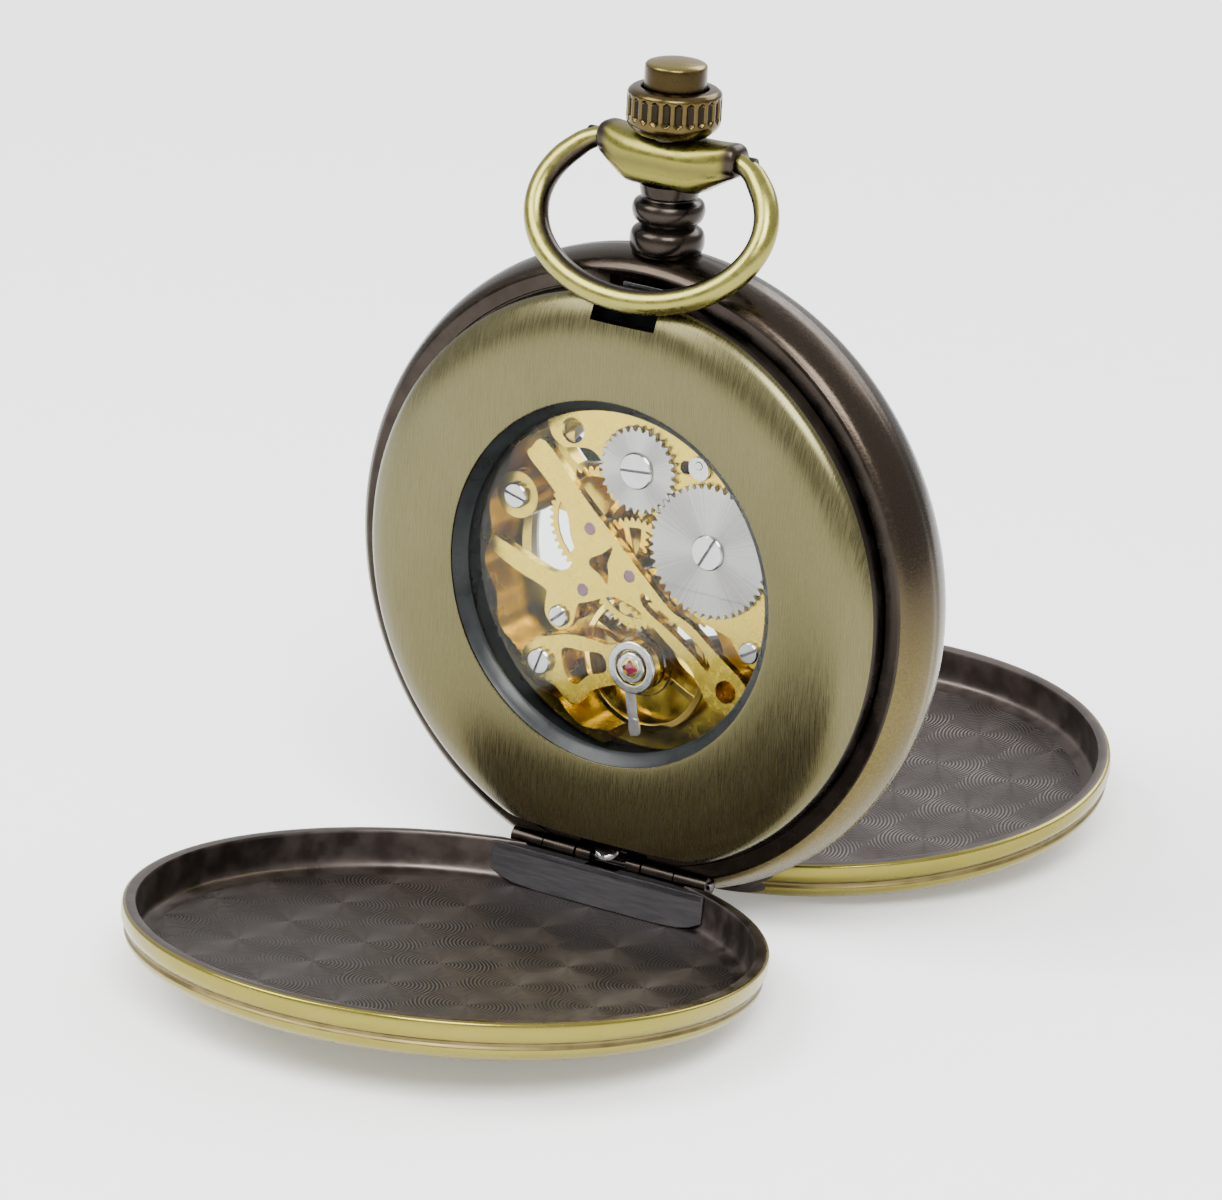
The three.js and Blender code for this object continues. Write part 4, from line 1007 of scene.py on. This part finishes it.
pendant()
bow()
bow_pin("bow_pin_left", -6.9, -4.35)
bow_pin("bow_pin_right", 4.35, 6.9)
crown()
push_button()
stem = [(0.0, 8.25), (0.42, 8.25), (0.5, 8.4), (0.5, 32.9), (0.0, 32.9)]
piece("stem", solid(stem, 24, upright=True), [STEEL])


# ---- bridges and plate
def countersunk_jewel(centre, top, radius=0.48):
    """A mauve jewel set in a small polished sink."""
    profile = [
        (0.0, top - 0.05), (radius * 0.9, top - 0.04), (radius, top + 0.02), (radius, top + 0.3),
        (0.0, top + 0.3),
    ]
    return at_centre(solid(finished(profile, 2)), centre)


def train_bridge():
    outline = smooth([
        (-8.75, 7.8), (-9.0, 7.15), (-7.4, 5.7), (-6.1, 4.4), (-5.4, 3.3), (-5.1, 1.9), (-4.65, 0.8),
        (-5.1, -0.45), (-5.85, -0.9), (-6.7, -1.0), (-8.8, -0.3), (-10.9, 0.4), (-11.6, 0.55),
        (-11.75, -0.2), (-11.0, -0.9), (-9.2, -1.7), (-7.6, -2.2), (-6.9, -2.6), (-6.95, -3.3),
        (-6.9, -4.3), (-6.2, -5.1), (-5.4, -5.2), (-4.6, -4.6), (-4.35, -3.6), (-4.1, -2.95),
        (-3.2, -2.6), (-1.5, -1.85), (-0.2, -2.0), (1.05, -2.45), (2.8, -3.8), (4.2, -4.8), (5.45, -5.7),
        (6.4, -7.1), (7.4, -8.3), (8.8, -8.4), (9.75, -7.6), (10.1, -6.4), (9.8, -5.7), (7.5, -4.1),
        (5.3, -2.5), (3.7, -1.85), (2.1, -0.55), (0.0, 1.3), (-1.8, 2.95), (-4.5, 5.4), (-7.6, 8.5),
    ], 4)
    heart = smooth([
        (-1.5, 1.85), (-2.4, 1.15), (-3.35, 0.6), (-3.3, 0.0), (-2.6, -0.35), (-1.85, -1.0),
        (-1.75, -0.2), (-1.85, 0.6),
    ], 4)
    slot = smooth([
        (1.0, -1.2), (1.5, -1.1), (2.6, -1.9), (4.4, -2.85), (6.2, -4.0), (7.1, -5.2), (6.8, -5.6),
        (5.6, -4.65), (3.6, -3.35), (2.0, -2.5), (1.2, -1.85),
    ], 4)
    foot_centre = (8.5, -6.8)
    holes = [heart, slot, circle(0.85, foot_centre), circle(0.5, MIDDLE_SCREW)]
    body = prism(outline, -2.7, BRIDGE_UNDERSIDE, holes)
    jewels = [countersunk_jewel(c, -2.72) for c in (CENTRE, THIRD, FOURTH)]
    foot = tube(0.86, 1.14, FOOT_TOP, -0.08, foot_centre)
    edged("train_bridge", together(body, foot, *jewels), GILDED + [JEWEL], 0.13)


def barrel_bridge():
    upper_edge = filleted([
        (-7.5, 9.3), (-7.25, 8.8), (-6.3, 8.25), (-5.2, 8.42), (-4.0, 8.5), (-2.98, 7.75), (-2.65, 6.4),
        (-2.1, 5.25),
    ], 3)
    lower_edge = filleted([(-1.4, 4.92), (0.4, 5.1), (1.9, 4.5), (2.3, 2.7), (1.95, 0.85)], 3)
    lower_edge += [(3.3, -0.6), (4.6, -1.5), (6.2, -2.3)]
    lug = filleted([(8.4, -2.9), (9.25, -4.05), (10.2, -4.66), (11.3, -4.66)], 3)
    outline = arc(12.88, -20, 128, 44) + upper_edge + lower_edge + lug
    holes = [
        circle(0.95, (-5.6, 9.6)), circle(0.5, (4.0, 8.8)), circle(0.88, BARREL), circle(0.88, CROWN_WHEEL),
        circle(0.5, BRIDGE_SCREW),
    ]
    edged("barrel_bridge", prism(outline, -2.3, -1.92, holes), GILDED, 0.1)


def balance_cock():
    outline = filleted([(-8.5, -7.0), (-6.85, -6.05), (-4.3, -5.4), (-1.5, -5.55)], 4)
    outline += arc(1.93, 125, -125, 24, BALANCE)
    outline += filleted(
        [(-1.2, -8.5), (-2.8, -9.3), (-4.25, -10.7), (-6.05, -9.5), (-8.3, -9.35), (-8.95, -8.1)], 4,
    )
    window = smooth(
        [(-5.4, -6.65), (-3.6, -6.45), (-2.0, -6.35), (-1.6, -7.5), (-3.1, -8.2), (-4.1, -9.1), (-5.0, -8.5)],
        4,
    )
    arm = prism(outline, -2.6, BRIDGE_UNDERSIDE, [window, circle(1.2, BALANCE), circle(0.55, COCK_SCREW)])
    foot = tube(0.56, 1.68, FOOT_TOP, -0.06, COCK_SCREW)
    edged("balance_cock", together(arm, foot), GILDED, 0.13)


def main_plate():
    left = arc(10.9, 164, 196, 10) + [(-7.0, -2.6), (-6.2, -0.9), (-6.6, 1.2), (-7.0, 2.6)]
    slot = smooth([(1.9, -4.4), (3.4, -3.0), (5.6, -3.4), (6.6, -5.6), (5.4, -7.6), (3.0, -6.6)], 4)
    upper = smooth([(-6.5, 6.4), (-3.2, 7.6), (-2.6, 9.4), (-5.0, 9.8), (-7.6, 8.4)], 4)
    holes = [left, slot, upper, circle(0.5, CENTRE, 24)]
    holes += [circle(0.28, c, 16) for c in (THIRD, FOURTH, ESCAPE, PALLET, BALANCE)]
    stem_channel = block(-0.75, 0.75, -1.0, 0.8, 7.9, 14.0)
    pinion_room = block(-1.95, 1.95, -1.0, 1.9, 9.5, 11.3)
    flat = carved(prism(circle(13.48, CENTRE, FINE), 0.02, 1.18, holes), stem_channel, pinion_room)
    posts = []
    for centre, radius, y in (
        (UPPER_SCREW, 1.73, -2.3), (MIDDLE_SCREW, 0.84, -1.95), (BRIDGE_SCREW, 0.84, -1.87),
    ):
        posts.append(tube(0.5, radius, y, 0.1, centre))
    wall_start, wall_end = 135, 262
    scallops = []
    for i in range(97):
        a = math.radians(wall_start + (wall_end - wall_start) * i / 96)
        radius = 12.7 - 0.28 * math.cos(2 * math.pi * i / 16)
        scallops.append(polar(CENTRE, radius, a))
    raised_wall = prism(arc(13.38, wall_end, wall_start, 64) + scallops, -1.78, 0.1)
    # The recessed plate wears the darker gilt copy: painted shade.
    edged("main_plate", together(flat, raised_wall, *posts), [GILT_DEEP, GILT_EDGE], 0.1)


train_bridge()
barrel_bridge()
balance_cock()
main_plate()
pallet_outline = smooth(
    [(-1.9, -2.9), (-0.6, -2.7), (1.6, -2.2), (2.0, -2.9), (0.0, -4.3), (-0.9, -4.6), (-1.7, -4.3)], 4,
)
pallet_cock = together(prism(pallet_outline, -0.6, -0.43), countersunk_jewel(PALLET, -0.6, 0.3))
edged("pallet_bridge", pallet_cock, GILDED + [JEWEL], 0.05)


# ---- screws
def screw(node, centre, head, top, height, slot_angle, shank=0.44, end=-1.32, slot=0.1):
    """A polished cheese-head screw with a straight slot."""
    profile = [
        (0.0, top), (head - 0.1, top), (head, top + 0.1), (head, top + height), (shank, top + height),
        (shank, end), (0.0, end),
    ]
    body = solid(profile)
    # The slot's faces wear the dark steel: painted shade in the slot.
    tool = block(-head - 0.3, head + 0.3, top - 0.1, top + 0.13, -slot, slot, index=1)
    bmesh.ops.rotate(
        tool, matrix=Matrix.Rotation(-math.radians(slot_angle), 3, "Y"), verts=tool.verts, cent=(0, 0, 0),
    )
    piece(node, at_centre(carved(body, tool), centre), [STEEL, STEEL_DARK], bevel=0.03)


screw("crown_wheel_screw", CROWN_WHEEL, 1.35, -2.99, 0.21, 5, shank=0.6, end=-1.97)
screw("ratchet_screw", BARREL, 1.3, -2.99, 0.21, 60, shank=0.25, end=-2.12)
screw("upper_screw", UPPER_SCREW, 0.95, -2.74, 0.38, -15)
screw("middle_screw", MIDDLE_SCREW, 0.8, -3.04, 0.28, 40)
screw("cock_screw", COCK_SCREW, 0.95, -3.09, 0.44, 70)
screw("bridge_screw", BRIDGE_SCREW, 0.8, -2.74, 0.38, 30)


# ---- winding and barrel
def sun_wheel(node, gear, bore):
    steel = sunburst(node + "_steel", gear.centre, rgb(0.47, 0.445, 0.42), rgb(0.31, 0.29, 0.275))
    wheel = gear.wheel(STEEL_TOP, -2.36, [circle(bore, gear.centre)], flat=True)
    edged(node, wheel, [steel, STEEL_EDGE], 0.04)


def spiral(centre, r0, r1, turns, thickness, y0, y1, steps=48):
    count = int(turns * steps)
    inner, outer = [], []
    for i in range(count + 1):
        a = 2 * math.pi * i / steps
        r = r0 + (r1 - r0) * i / count
        for side, points in ((-0.5, inner), (0.5, outer)):
            points.append(polar(centre, r + side * thickness, a))
    return prism(outer + inner[::-1], y0, y1)


sun_wheel("crown_wheel", CROWN_GEAR, 0.68)
sun_wheel("ratchet_wheel", RATCHET_GEAR, 0.6)
drum = together(
    BARREL_GEAR.wheel(-0.58, -0.22, [circle(5.02, BARREL, 64)]),
    tube(5.02, 5.48, -1.13, -0.3, BARREL, MEDIUM),
    tube(0.52, 5.1, -0.4, -0.24, BARREL, MEDIUM),
)
edged("barrel_drum", drum, GILDED, 0.04)
core = [
    (0.0, -2.0), (0.3, -2.0), (0.3, -2.71), (0.54, -2.71), (0.54, -1.3), (0.88, -1.2), (0.88, -0.56),
    (0.4, -0.45), (0.4, -0.12), (0.0, -0.12),
]
piece("barrel_arbor", at_centre(solid(core), BARREL), [STEEL])
piece("mainspring", spiral(BARREL, 1.6, 4.6, 2.5, 0.28, -1.08, -0.52), [STEEL_DARK])
click_shape = smooth(
    [(4.5, 8.8), (4.95, 8.32), (5.7, 8.25), (6.1, 8.85), (5.85, 9.65), (5.0, 9.88), (4.48, 9.5)], 3,
)
click_body = prism(click_shape, STEEL_TOP, CLICK_UNDERSIDE, [circle(0.3, CLICK, 20)])
edged("click", together(click_body, rod(0.27, -2.78, -2.42, CLICK)), STEELED, 0.05)
click_leaf = smooth(
    [(6.52, 9.35), (6.65, 9.05), (7.7, 8.75), (8.6, 8.32), (9.55, 7.38), (9.8, 7.6), (8.8, 8.65), (7.1, 9.5)],
    3,
)
edged("click_spring", prism(click_leaf, STEEL_TOP, CLICK_UNDERSIDE), STEELED, 0.04)
winding = Gear(CENTRE, 15, 1.65).wheel(-11.04, -9.76, [circle(0.56)], flat=True)
bmesh.ops.rotate(winding, matrix=Matrix.Rotation(-math.pi / 2, 3, "X"), verts=winding.verts, cent=(0, 0, 0))
edged("winding_pinion", winding, STEELED, 0.05)


# ---- going train
def arbor(centre, steps):
    """A turned staff in the third material."""
    return at_centre(solid(finished(steps, 2), 24), centre)


def plain_staff(end):
    return [(0.0, STAFF_TOP), (0.18, STAFF_TOP), (0.2, -1.95), (0.2, end), (0.0, end)]


def train_wheel(node, gear, y0, y1, rim, pinion, p0, p1, staff, start):
    wheel = gear.wheel(y0, y1, gear.spokes(0.65, rim, 4, 0.45, start))
    leaves = pinion.wheel(p0, p1, index=2)
    edged(node, together(wheel, leaves, arbor(gear.centre, staff)), GILDED + [STEEL], 0.03)


train_wheel("centre_wheel", CENTRE_GEAR, -1.84, -1.69, 0.6, CENTRE_PINION, -0.64, -0.16,
            plain_staff(1.68), 0.3)
train_wheel("third_wheel", THIRD_GEAR, -1.44, -1.31, 0.55, THIRD_PINION, -1.88, -1.62,
            plain_staff(STAFF_END), 0.9)
train_wheel("fourth_wheel", FOURTH_GEAR, -0.64, -0.51, 0.4, FOURTH_PINION, -1.48, -1.27,
            [(0.0, STAFF_TOP), (0.12, STAFF_TOP), (0.12, -1.6), (0.2, -1.5), (0.2, 2.18), (0.0, 2.18)], 0.2)


def escape_wheel():
    teeth = []
    for i in range(15):
        a = i * 2 * math.pi / 15
        for r, k in ((1.15, -0.16), (1.48, 0.04), (1.48, 0.1), (1.15, 0.0)):
            teeth.append(polar(ESCAPE, r, a + k))
    hub = Gear(ESCAPE, 15, 1.3)
    wheel = prism(teeth, -0.34, -0.21, hub.spokes(0.4, 0.3, 4, 0.2))
    staff = rod(0.12, -0.74, STAFF_END, ESCAPE, index=2)
    leaves = ESCAPE_PINION.wheel(-0.69, -0.3, index=2)
    piece("escape_wheel", together(wheel, leaves, staff), STEELED + [STEEL])


def pallet_fork():
    outline = smooth([
        (-1.12, -2.68), (-0.88, -2.7), (-0.78, -3.5), (-0.22, -4.6), (0.32, -5.75), (0.2, -6.02),
        (0.02, -5.72), (-0.23, -5.96), (-0.42, -5.65), (-0.6, -4.7), (-1.0, -4.22), (-1.26, -4.92),
        (-1.47, -4.96), (-1.3, -3.9), (-1.17, -3.4),
    ], 2)
    staff = rod(0.12, -0.56, STAFF_END, PALLET, index=2)
    piece("pallet_fork", together(prism(outline, -0.33, -0.21), staff), STEELED + [STEEL])


def balance_wheel():
    rim = at_centre(
        lathe([(4.66, -1.13), (5.1, -1.13), (5.14, -1.05), (5.14, -0.82), (5.1, -0.77), (4.66, -0.77)], FINE),
        BALANCE,
    )
    bar_corners = [(-4.75, -0.24), (4.75, -0.24), (4.75, 0.24), (-4.75, 0.24)]
    bar = prism(turned_round(bar_corners, BALANCE, -25), -1.0, -0.82)
    staff = arbor(
        BALANCE,
        [
            (0.0, -1.94), (0.15, -1.94), (0.48, -1.2), (0.48, -0.75), (0.15, -0.55), (0.15, STAFF_END),
            (0.0, STAFF_END),
        ],
    )
    piece("balance_wheel", together(rim, bar, staff), [GILT_EDGE, GILT_EDGE, STEEL], bevel=0.03)


escape_wheel()
pallet_fork()
balance_wheel()
piece("hairspring", spiral(BALANCE, 0.85, 2.5, 3, 0.08, -1.58, -1.37), [STEEL_DARK])


# ---- regulator and shock setting
def regulator():
    ring_profile = [(1.32, -2.88), (1.42, -2.9), (1.85, -2.9), (1.94, -2.84), (1.94, -2.7), (1.32, -2.7)]
    tail = smooth([
        (0.25, -8.45), (0.65, -8.4), (1.05, -8.45), (1.4, -10.2), (1.7, -11.4), (1.2, -11.72),
        (0.8, -11.6), (0.55, -10.2),
    ], 3)
    stud = rod(0.2, -2.9, -2.7, (1.15, -10.6))
    body = together(at_centre(lathe(ring_profile, SMALL * 2), BALANCE), prism(tail, -2.86, -2.7), stud)
    edged("regulator", body, STEELED, 0.03)


def shock_setting():
    """Ruby cap jewel in a steel seat under a lyre spring."""
    seat = lathe([
        (0.62, -3.0), (0.72, -3.04), (0.8, -3.02), (0.82, -2.94), (1.05, -2.94), (1.11, -2.9),
        (1.11, -2.07), (0.62, -2.07),
    ], SMALL * 2)
    stone_profile = [(0.0, -2.99), (0.3, -2.98), (0.5, -2.93), (0.6, -2.86), (0.6, -2.1), (0.0, -2.1)]
    stone = solid(finished(stone_profile, 1))
    lyre = []
    for i in range(72):
        a = 2 * math.pi * i / 72
        lyre.append(polar(CENTRE, 0.5 + 0.13 * math.cos(4 * a), a))
    clip = prism(circle(0.66), -3.045, -2.99, [lyre], index=2)
    piece("shock_setting", at_centre(together(seat, stone, clip), BALANCE), [STEEL_EDGE, RUBY, GILT_EDGE])


regulator()
shock_setting()


# ---- dial side
INK_LEVELS = (2.44, 2.5)
NUMERALS = ("XII", "I", "II", "III", "IIII", "V", "VI", "VII", "VIII", "IX", "X", "XI")


def stroke(points, width, degrees):
    """A straight inked bar between two points, turned round the dial."""
    (x0, z0), (x1, z1) = points
    long = math.hypot(x1 - x0, z1 - z0)
    nx, nz = -(z1 - z0) / long * width / 2, (x1 - x0) / long * width / 2
    corners = [(x0 + nx, z0 + nz), (x1 + nx, z1 + nz), (x1 - nx, z1 - nz), (x0 - nx, z0 - nz)]
    return prism(turned_round(corners, CENTRE, degrees), *INK_LEVELS, index=1)


def numeral(text, hour):
    """Roman numeral whose foot points to the dial's centre. It is read from +Y, so X runs backwards."""
    widths = {"I": 0.62, "V": 1.5, "X": 1.6}
    low, high = 13.0, 16.2
    at = sum(widths[c] for c in text) / 2
    bars = []
    for c in text:
        middle = at - widths[c] / 2
        at -= widths[c]
        if c == "I":
            lines = [((middle, low), (middle, high), 0.34)]
        elif c == "V":
            lines = [
                ((middle, low), (middle + 0.55, high), 0.4), ((middle, low), (middle - 0.55, high), 0.16),
            ]
        else:
            lines = [
                ((middle + 0.55, high), (middle - 0.55, low), 0.4),
                ((middle - 0.55, high), (middle + 0.55, low), 0.16),
            ]
        for a, b, width in lines:
            bars.append(stroke((a, b), width, hour * 30.0))
    return bars


def dial():
    plate_ring = lathe(
        [(11.05, 2.12), (18.15, 2.12), (18.15, 2.42), (18.05, 2.46), (11.15, 2.46), (11.05, 2.42)],
    )
    bars = []
    for hour, text in enumerate(NUMERALS):
        bars += numeral(text, hour)
    track = 17.8
    for minute in range(60):
        length, width = (0.9, 0.2) if minute % 5 == 0 else (0.5, 0.08)
        bars.append(stroke(((0.0, track - length), (0.0, track)), width, minute * 6.0))
    piece("dial_ring", together(plate_ring, *bars), [ENAMEL, INK])


def hand(node, length, width, hub, bore, y0, y1, clock, centre=CENTRE):
    """A slender leaf hand; clock is degrees clockwise from 12, seen from the dial side."""
    half = [
        (width * 0.28, 0.0), (width * 0.25, length * 0.3), (width, length * 0.6),
        (width * 0.55, length * 0.78), (0.04, length),
    ]
    blade = half + [(-x, z) for x, z in reversed(half)]
    leaf = prism(turned_round(blade, centre, clock), y0, y1)
    eye = tube(bore, hub, y0, y1 + 0.01, centre)
    gap = rod(bore, y0 - 1, y1 + 1, centre, SMALL)
    piece(node, together(carved(leaf, gap), eye), [BLUED], bevel=0.03)


dial()
hand("hour_hand", 9.3, 0.75, 1.2, 0.8, 2.69, 2.81, 305)
hand("minute_hand", 14.0, 0.6, 1.0, 0.47, 3.01, 3.12, 50)
hand("second_hand", 2.2, 0.2, 0.4, 0.24, 2.31, 2.39, 180, FOURTH)
cannon = together(
    CANNON_GEAR.wheel(1.31, 1.49, [circle(0.27, CENTRE, 24)]),
    tube(0.26, 0.41, 1.4, 2.93),
)
edged("cannon_pinion", cannon, STEELED, 0.03)
hour_pair = together(HOUR_GEAR.wheel(1.63, 1.79, [circle(0.5)]), tube(0.52, 0.74, 1.7, 2.63))
edged("hour_wheel", hour_pair, GILDED, 0.03)
minute_pair = together(MINUTE_GEAR.wheel(1.31, 1.49), MINUTE_PINION.wheel(1.45, 1.84))
edged("minute_wheel", minute_pair, GILDED, 0.03)


# ---- studio
LOOK_AT = (0.0, 0.0, 0.025)


def area_light(name, place, size, power):
    data = bpy.data.lights.new(name, "AREA")
    data.shape = "RECTANGLE"
    data.size, data.size_y = size
    data.energy = power
    made = bpy.data.objects.new(name, data)
    made.location = place
    made.rotation_euler = (Vector(LOOK_AT) - Vector(place)).to_track_quat("-Z", "Y").to_euler()
    bpy.context.collection.objects.link(made)


def floor():
    bm = bmesh.new()
    bmesh.ops.create_grid(bm, x_segments=8, y_segments=8, size=4.0)
    mesh = bpy.data.meshes.new("floor")
    bm.to_mesh(mesh)
    bm.free()
    made = bpy.data.objects.new("floor", mesh)
    made.location.z = -0.0002
    bpy.context.collection.objects.link(made)
    s = Shader("floor_paper")
    grain = s.noise(s.coords, scale=300.0)
    s.set("Base Color", s.mix(grain, rgb(0.90, 0.90, 0.90), rgb(0.94, 0.94, 0.94)))
    s.set("Roughness", 0.8)
    s.set("Specular IOR Level", 0.1)
    s.set("Emission Color", rgb(1.0, 1.0, 1.0))
    s.set("Emission Strength", 0.28)
    mesh.materials.append(s.material)


def backdrop():
    """White for the camera; for reflections a soft sky that is bright overhead and grey at the horizon."""
    world = bpy.data.worlds.new("studio")
    bpy.context.scene.world = world
    world.use_nodes = True
    tree = world.node_tree
    background = tree.nodes["Background"]
    coords = tree.nodes.new("ShaderNodeTexCoord")
    split = tree.nodes.new("ShaderNodeSeparateXYZ")
    ramp = tree.nodes.new("ShaderNodeValToRGB")
    path = tree.nodes.new("ShaderNodeLightPath")
    mix = tree.nodes.new("ShaderNodeMix")
    mix.data_type = "RGBA"
    mix.inputs[7].default_value = rgb(1.0, 1.0, 1.0)
    stops = ramp.color_ramp
    stops.elements[0].color = rgb(0.70, 0.69, 0.67)
    stops.elements[1].color = rgb(0.95, 0.96, 0.98)
    for position, value in ((0.05, 0.72), (0.3, 0.80), (0.6, 0.90)):
        stop = stops.elements.new(position)
        stop.color = rgb(value, value, value)
    tree.links.new(coords.outputs["Generated"], split.inputs[0])
    tree.links.new(split.outputs["Z"], ramp.inputs[0])
    tree.links.new(path.outputs["Is Camera Ray"], mix.inputs[0])
    tree.links.new(ramp.outputs["Color"], mix.inputs[6])
    tree.links.new(mix.outputs[2], background.inputs["Color"])
    background.inputs["Strength"].default_value = 1.3


floor()
backdrop()
area_light("key", (-0.35, -0.45, 0.55), (0.45, 0.45), 8.0)
area_light("side", (0.27, -0.40, 0.52), (0.34, 0.34), 8.0)
area_light("back", (0.1, 0.6, 0.5), (0.6, 0.3), 4.0)


def photo_camera():
    """Perspective camera fitted to the photo: azimuth 31.9 degrees, elevation 18.1, a slight roll."""
    azimuth, elevation, roll = math.radians(31.916), math.radians(18.134), math.radians(2.965)
    distance = 0.49063
    target = Vector((-0.0031, 0.0, (CENTRE_HEIGHT - 3.131) * MM))
    level = math.cos(elevation)
    forward = Vector((-math.sin(azimuth) * level, math.cos(azimuth) * level, -math.sin(elevation)))
    flat_right = forward.cross(Vector((0, 0, 1))).normalized()
    flat_up = flat_right.cross(forward)
    right = flat_right * math.cos(roll) + flat_up * math.sin(roll)
    up = flat_up * math.cos(roll) - flat_right * math.sin(roll)
    data = bpy.data.cameras.new("camera")
    data.sensor_width = 36.0
    data.lens = 201.43
    data.clip_start = 0.01
    data.clip_end = 20.0
    made = bpy.data.objects.new("camera", data)
    basis = Matrix((right, up, -forward)).transposed().to_4x4()
    made.matrix_world = Matrix.Translation(target - forward * distance) @ basis
    bpy.context.collection.objects.link(made)
    bpy.context.scene.camera = made


photo_camera()
